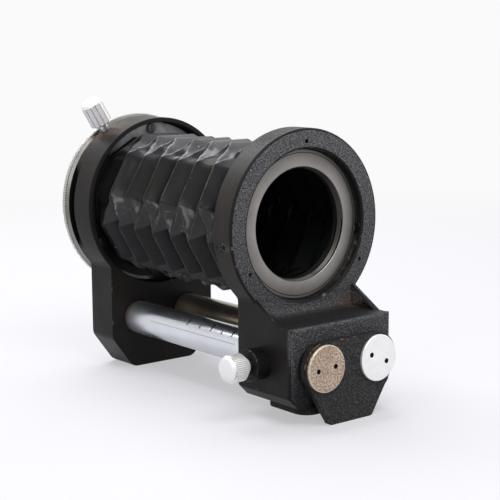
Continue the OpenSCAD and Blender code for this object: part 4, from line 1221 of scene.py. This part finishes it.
# floor, world and lamps
stageLight = {
    "floorHalf": 12.0, "floorTone": (0.31, 0.306, 0.322), "glowTone": (0.97, 0.965, 1.0), "floorGlow": 0.46,
    # metres from the part's middle, where the floor turns as white as the backdrop
    "middle": (0.0, -0.06, 0.0), "fadeFrom": 0.26, "fadeTo": 0.75,
    "white": 0.955,
    "fill": 0.3,
    "roomShade": 0.9,   # what bright metal mirrors on the side away from the backdrop
    "backdrop": (0.35, 0.93, 0.1),
    "lamps": (
        # name, place, aim, width, height, watts
        ("top", (0.05, 0.42, 0.92), (0.0, -0.05, 0.06), 1.0, 0.8, 14.0),
        ("front", (-0.1, -0.36, 0.47), (0.0, -0.08, 0.08), 0.36, 0.26, 1.7),
        ("right", (0.95, -0.25, 0.45), (0.0, -0.05, 0.06), 0.6, 0.6, 1.3),
        ("left", (-0.56, -0.26, 0.34), (0.0, -0.05, 0.07), 0.07, 0.3, 0.32),
    ),
}


def backgroundRays(tree):
    # the rays that should meet a white background: the camera's, and what metal and glass mirror
    path = put(tree, "LightPath").outputs
    mirrored = sums(tree, "MAXIMUM", path["Is Glossy Ray"], path["Is Transmission Ray"])
    return path, sums(tree, "MAXIMUM", path["Is Camera Ray"], mirrored)


def setStage(s):
    half = s["floorHalf"]
    mesh = bpy.data.meshes.new("floor")
    corners = [(-half, -half, 0), (half, -half, 0), (half, half, 0), (-half, half, 0)]
    mesh.from_pydata(corners, [], [(0, 1, 2, 3)])
    material, tree = newMaterial("paleFloor", specular=0.1)
    shader = tree.nodes["Principled BSDF"]
    fill(tree, shader.inputs["Base Color"], s["floorTone"])
    fill(tree, shader.inputs["Roughness"], 0.9)
    _, seen = backgroundRays(tree)
    reach = vectorSums(tree, "DISTANCE", surface(tree), s["middle"])
    fade = times(tree, ramp(tree, reach, s["fadeFrom"], s["fadeTo"], curve="SMOOTHSTEP"), seen)
    glow = make(tree, "Emission", {"Color": s["glowTone"], "Strength": times(tree, seen, s["floorGlow"])})
    backdrop = make(tree, "Emission", {"Color": (1, 1, 1), "Strength": s["white"]})
    both = make(tree, "AddShader", {0: shader.outputs[0], 1: glow})
    whole = make(tree, "MixShader", {0: fade, 1: both, 2: backdrop})
    tree.links.new(whole, tree.nodes["Material Output"].inputs["Surface"])
    mesh.materials.append(material)
    link("floor", mesh)

    world = bpy.data.worlds.new("studio")
    bpy.context.scene.world = world
    world.use_nodes = True
    tree = world.node_tree
    path, seen = backgroundRays(tree)
    toward = vectorSums(tree, "DOT_PRODUCT", surface(tree, "Generated"), s["backdrop"])
    mirrored = ramp(tree, toward, -0.35, 0.45, s["roomShade"], s["white"], "SMOOTHSTEP")
    shown = blendValue(tree, path["Is Glossy Ray"], s["white"], mirrored)
    background = tree.nodes["Background"]
    background.inputs["Color"].default_value = (1, 1, 1, 1)
    tree.links.new(blendValue(tree, seen, s["fill"], shown), background.inputs["Strength"])

    for name, place, aim, width, height, watts in s["lamps"]:
        data = bpy.data.lights.new(name, "AREA")
        data.shape = "RECTANGLE"
        data.size, data.size_y, data.energy = width, height, watts
        lamp = bpy.data.objects.new(name, data)
        bpy.context.scene.collection.objects.link(lamp)
        lamp.location = place
        lamp.rotation_euler = (Vector(aim) - Vector(place)).to_track_quat("-Z", "Y").to_euler()


setStage(stageLight)
print("stage lit")
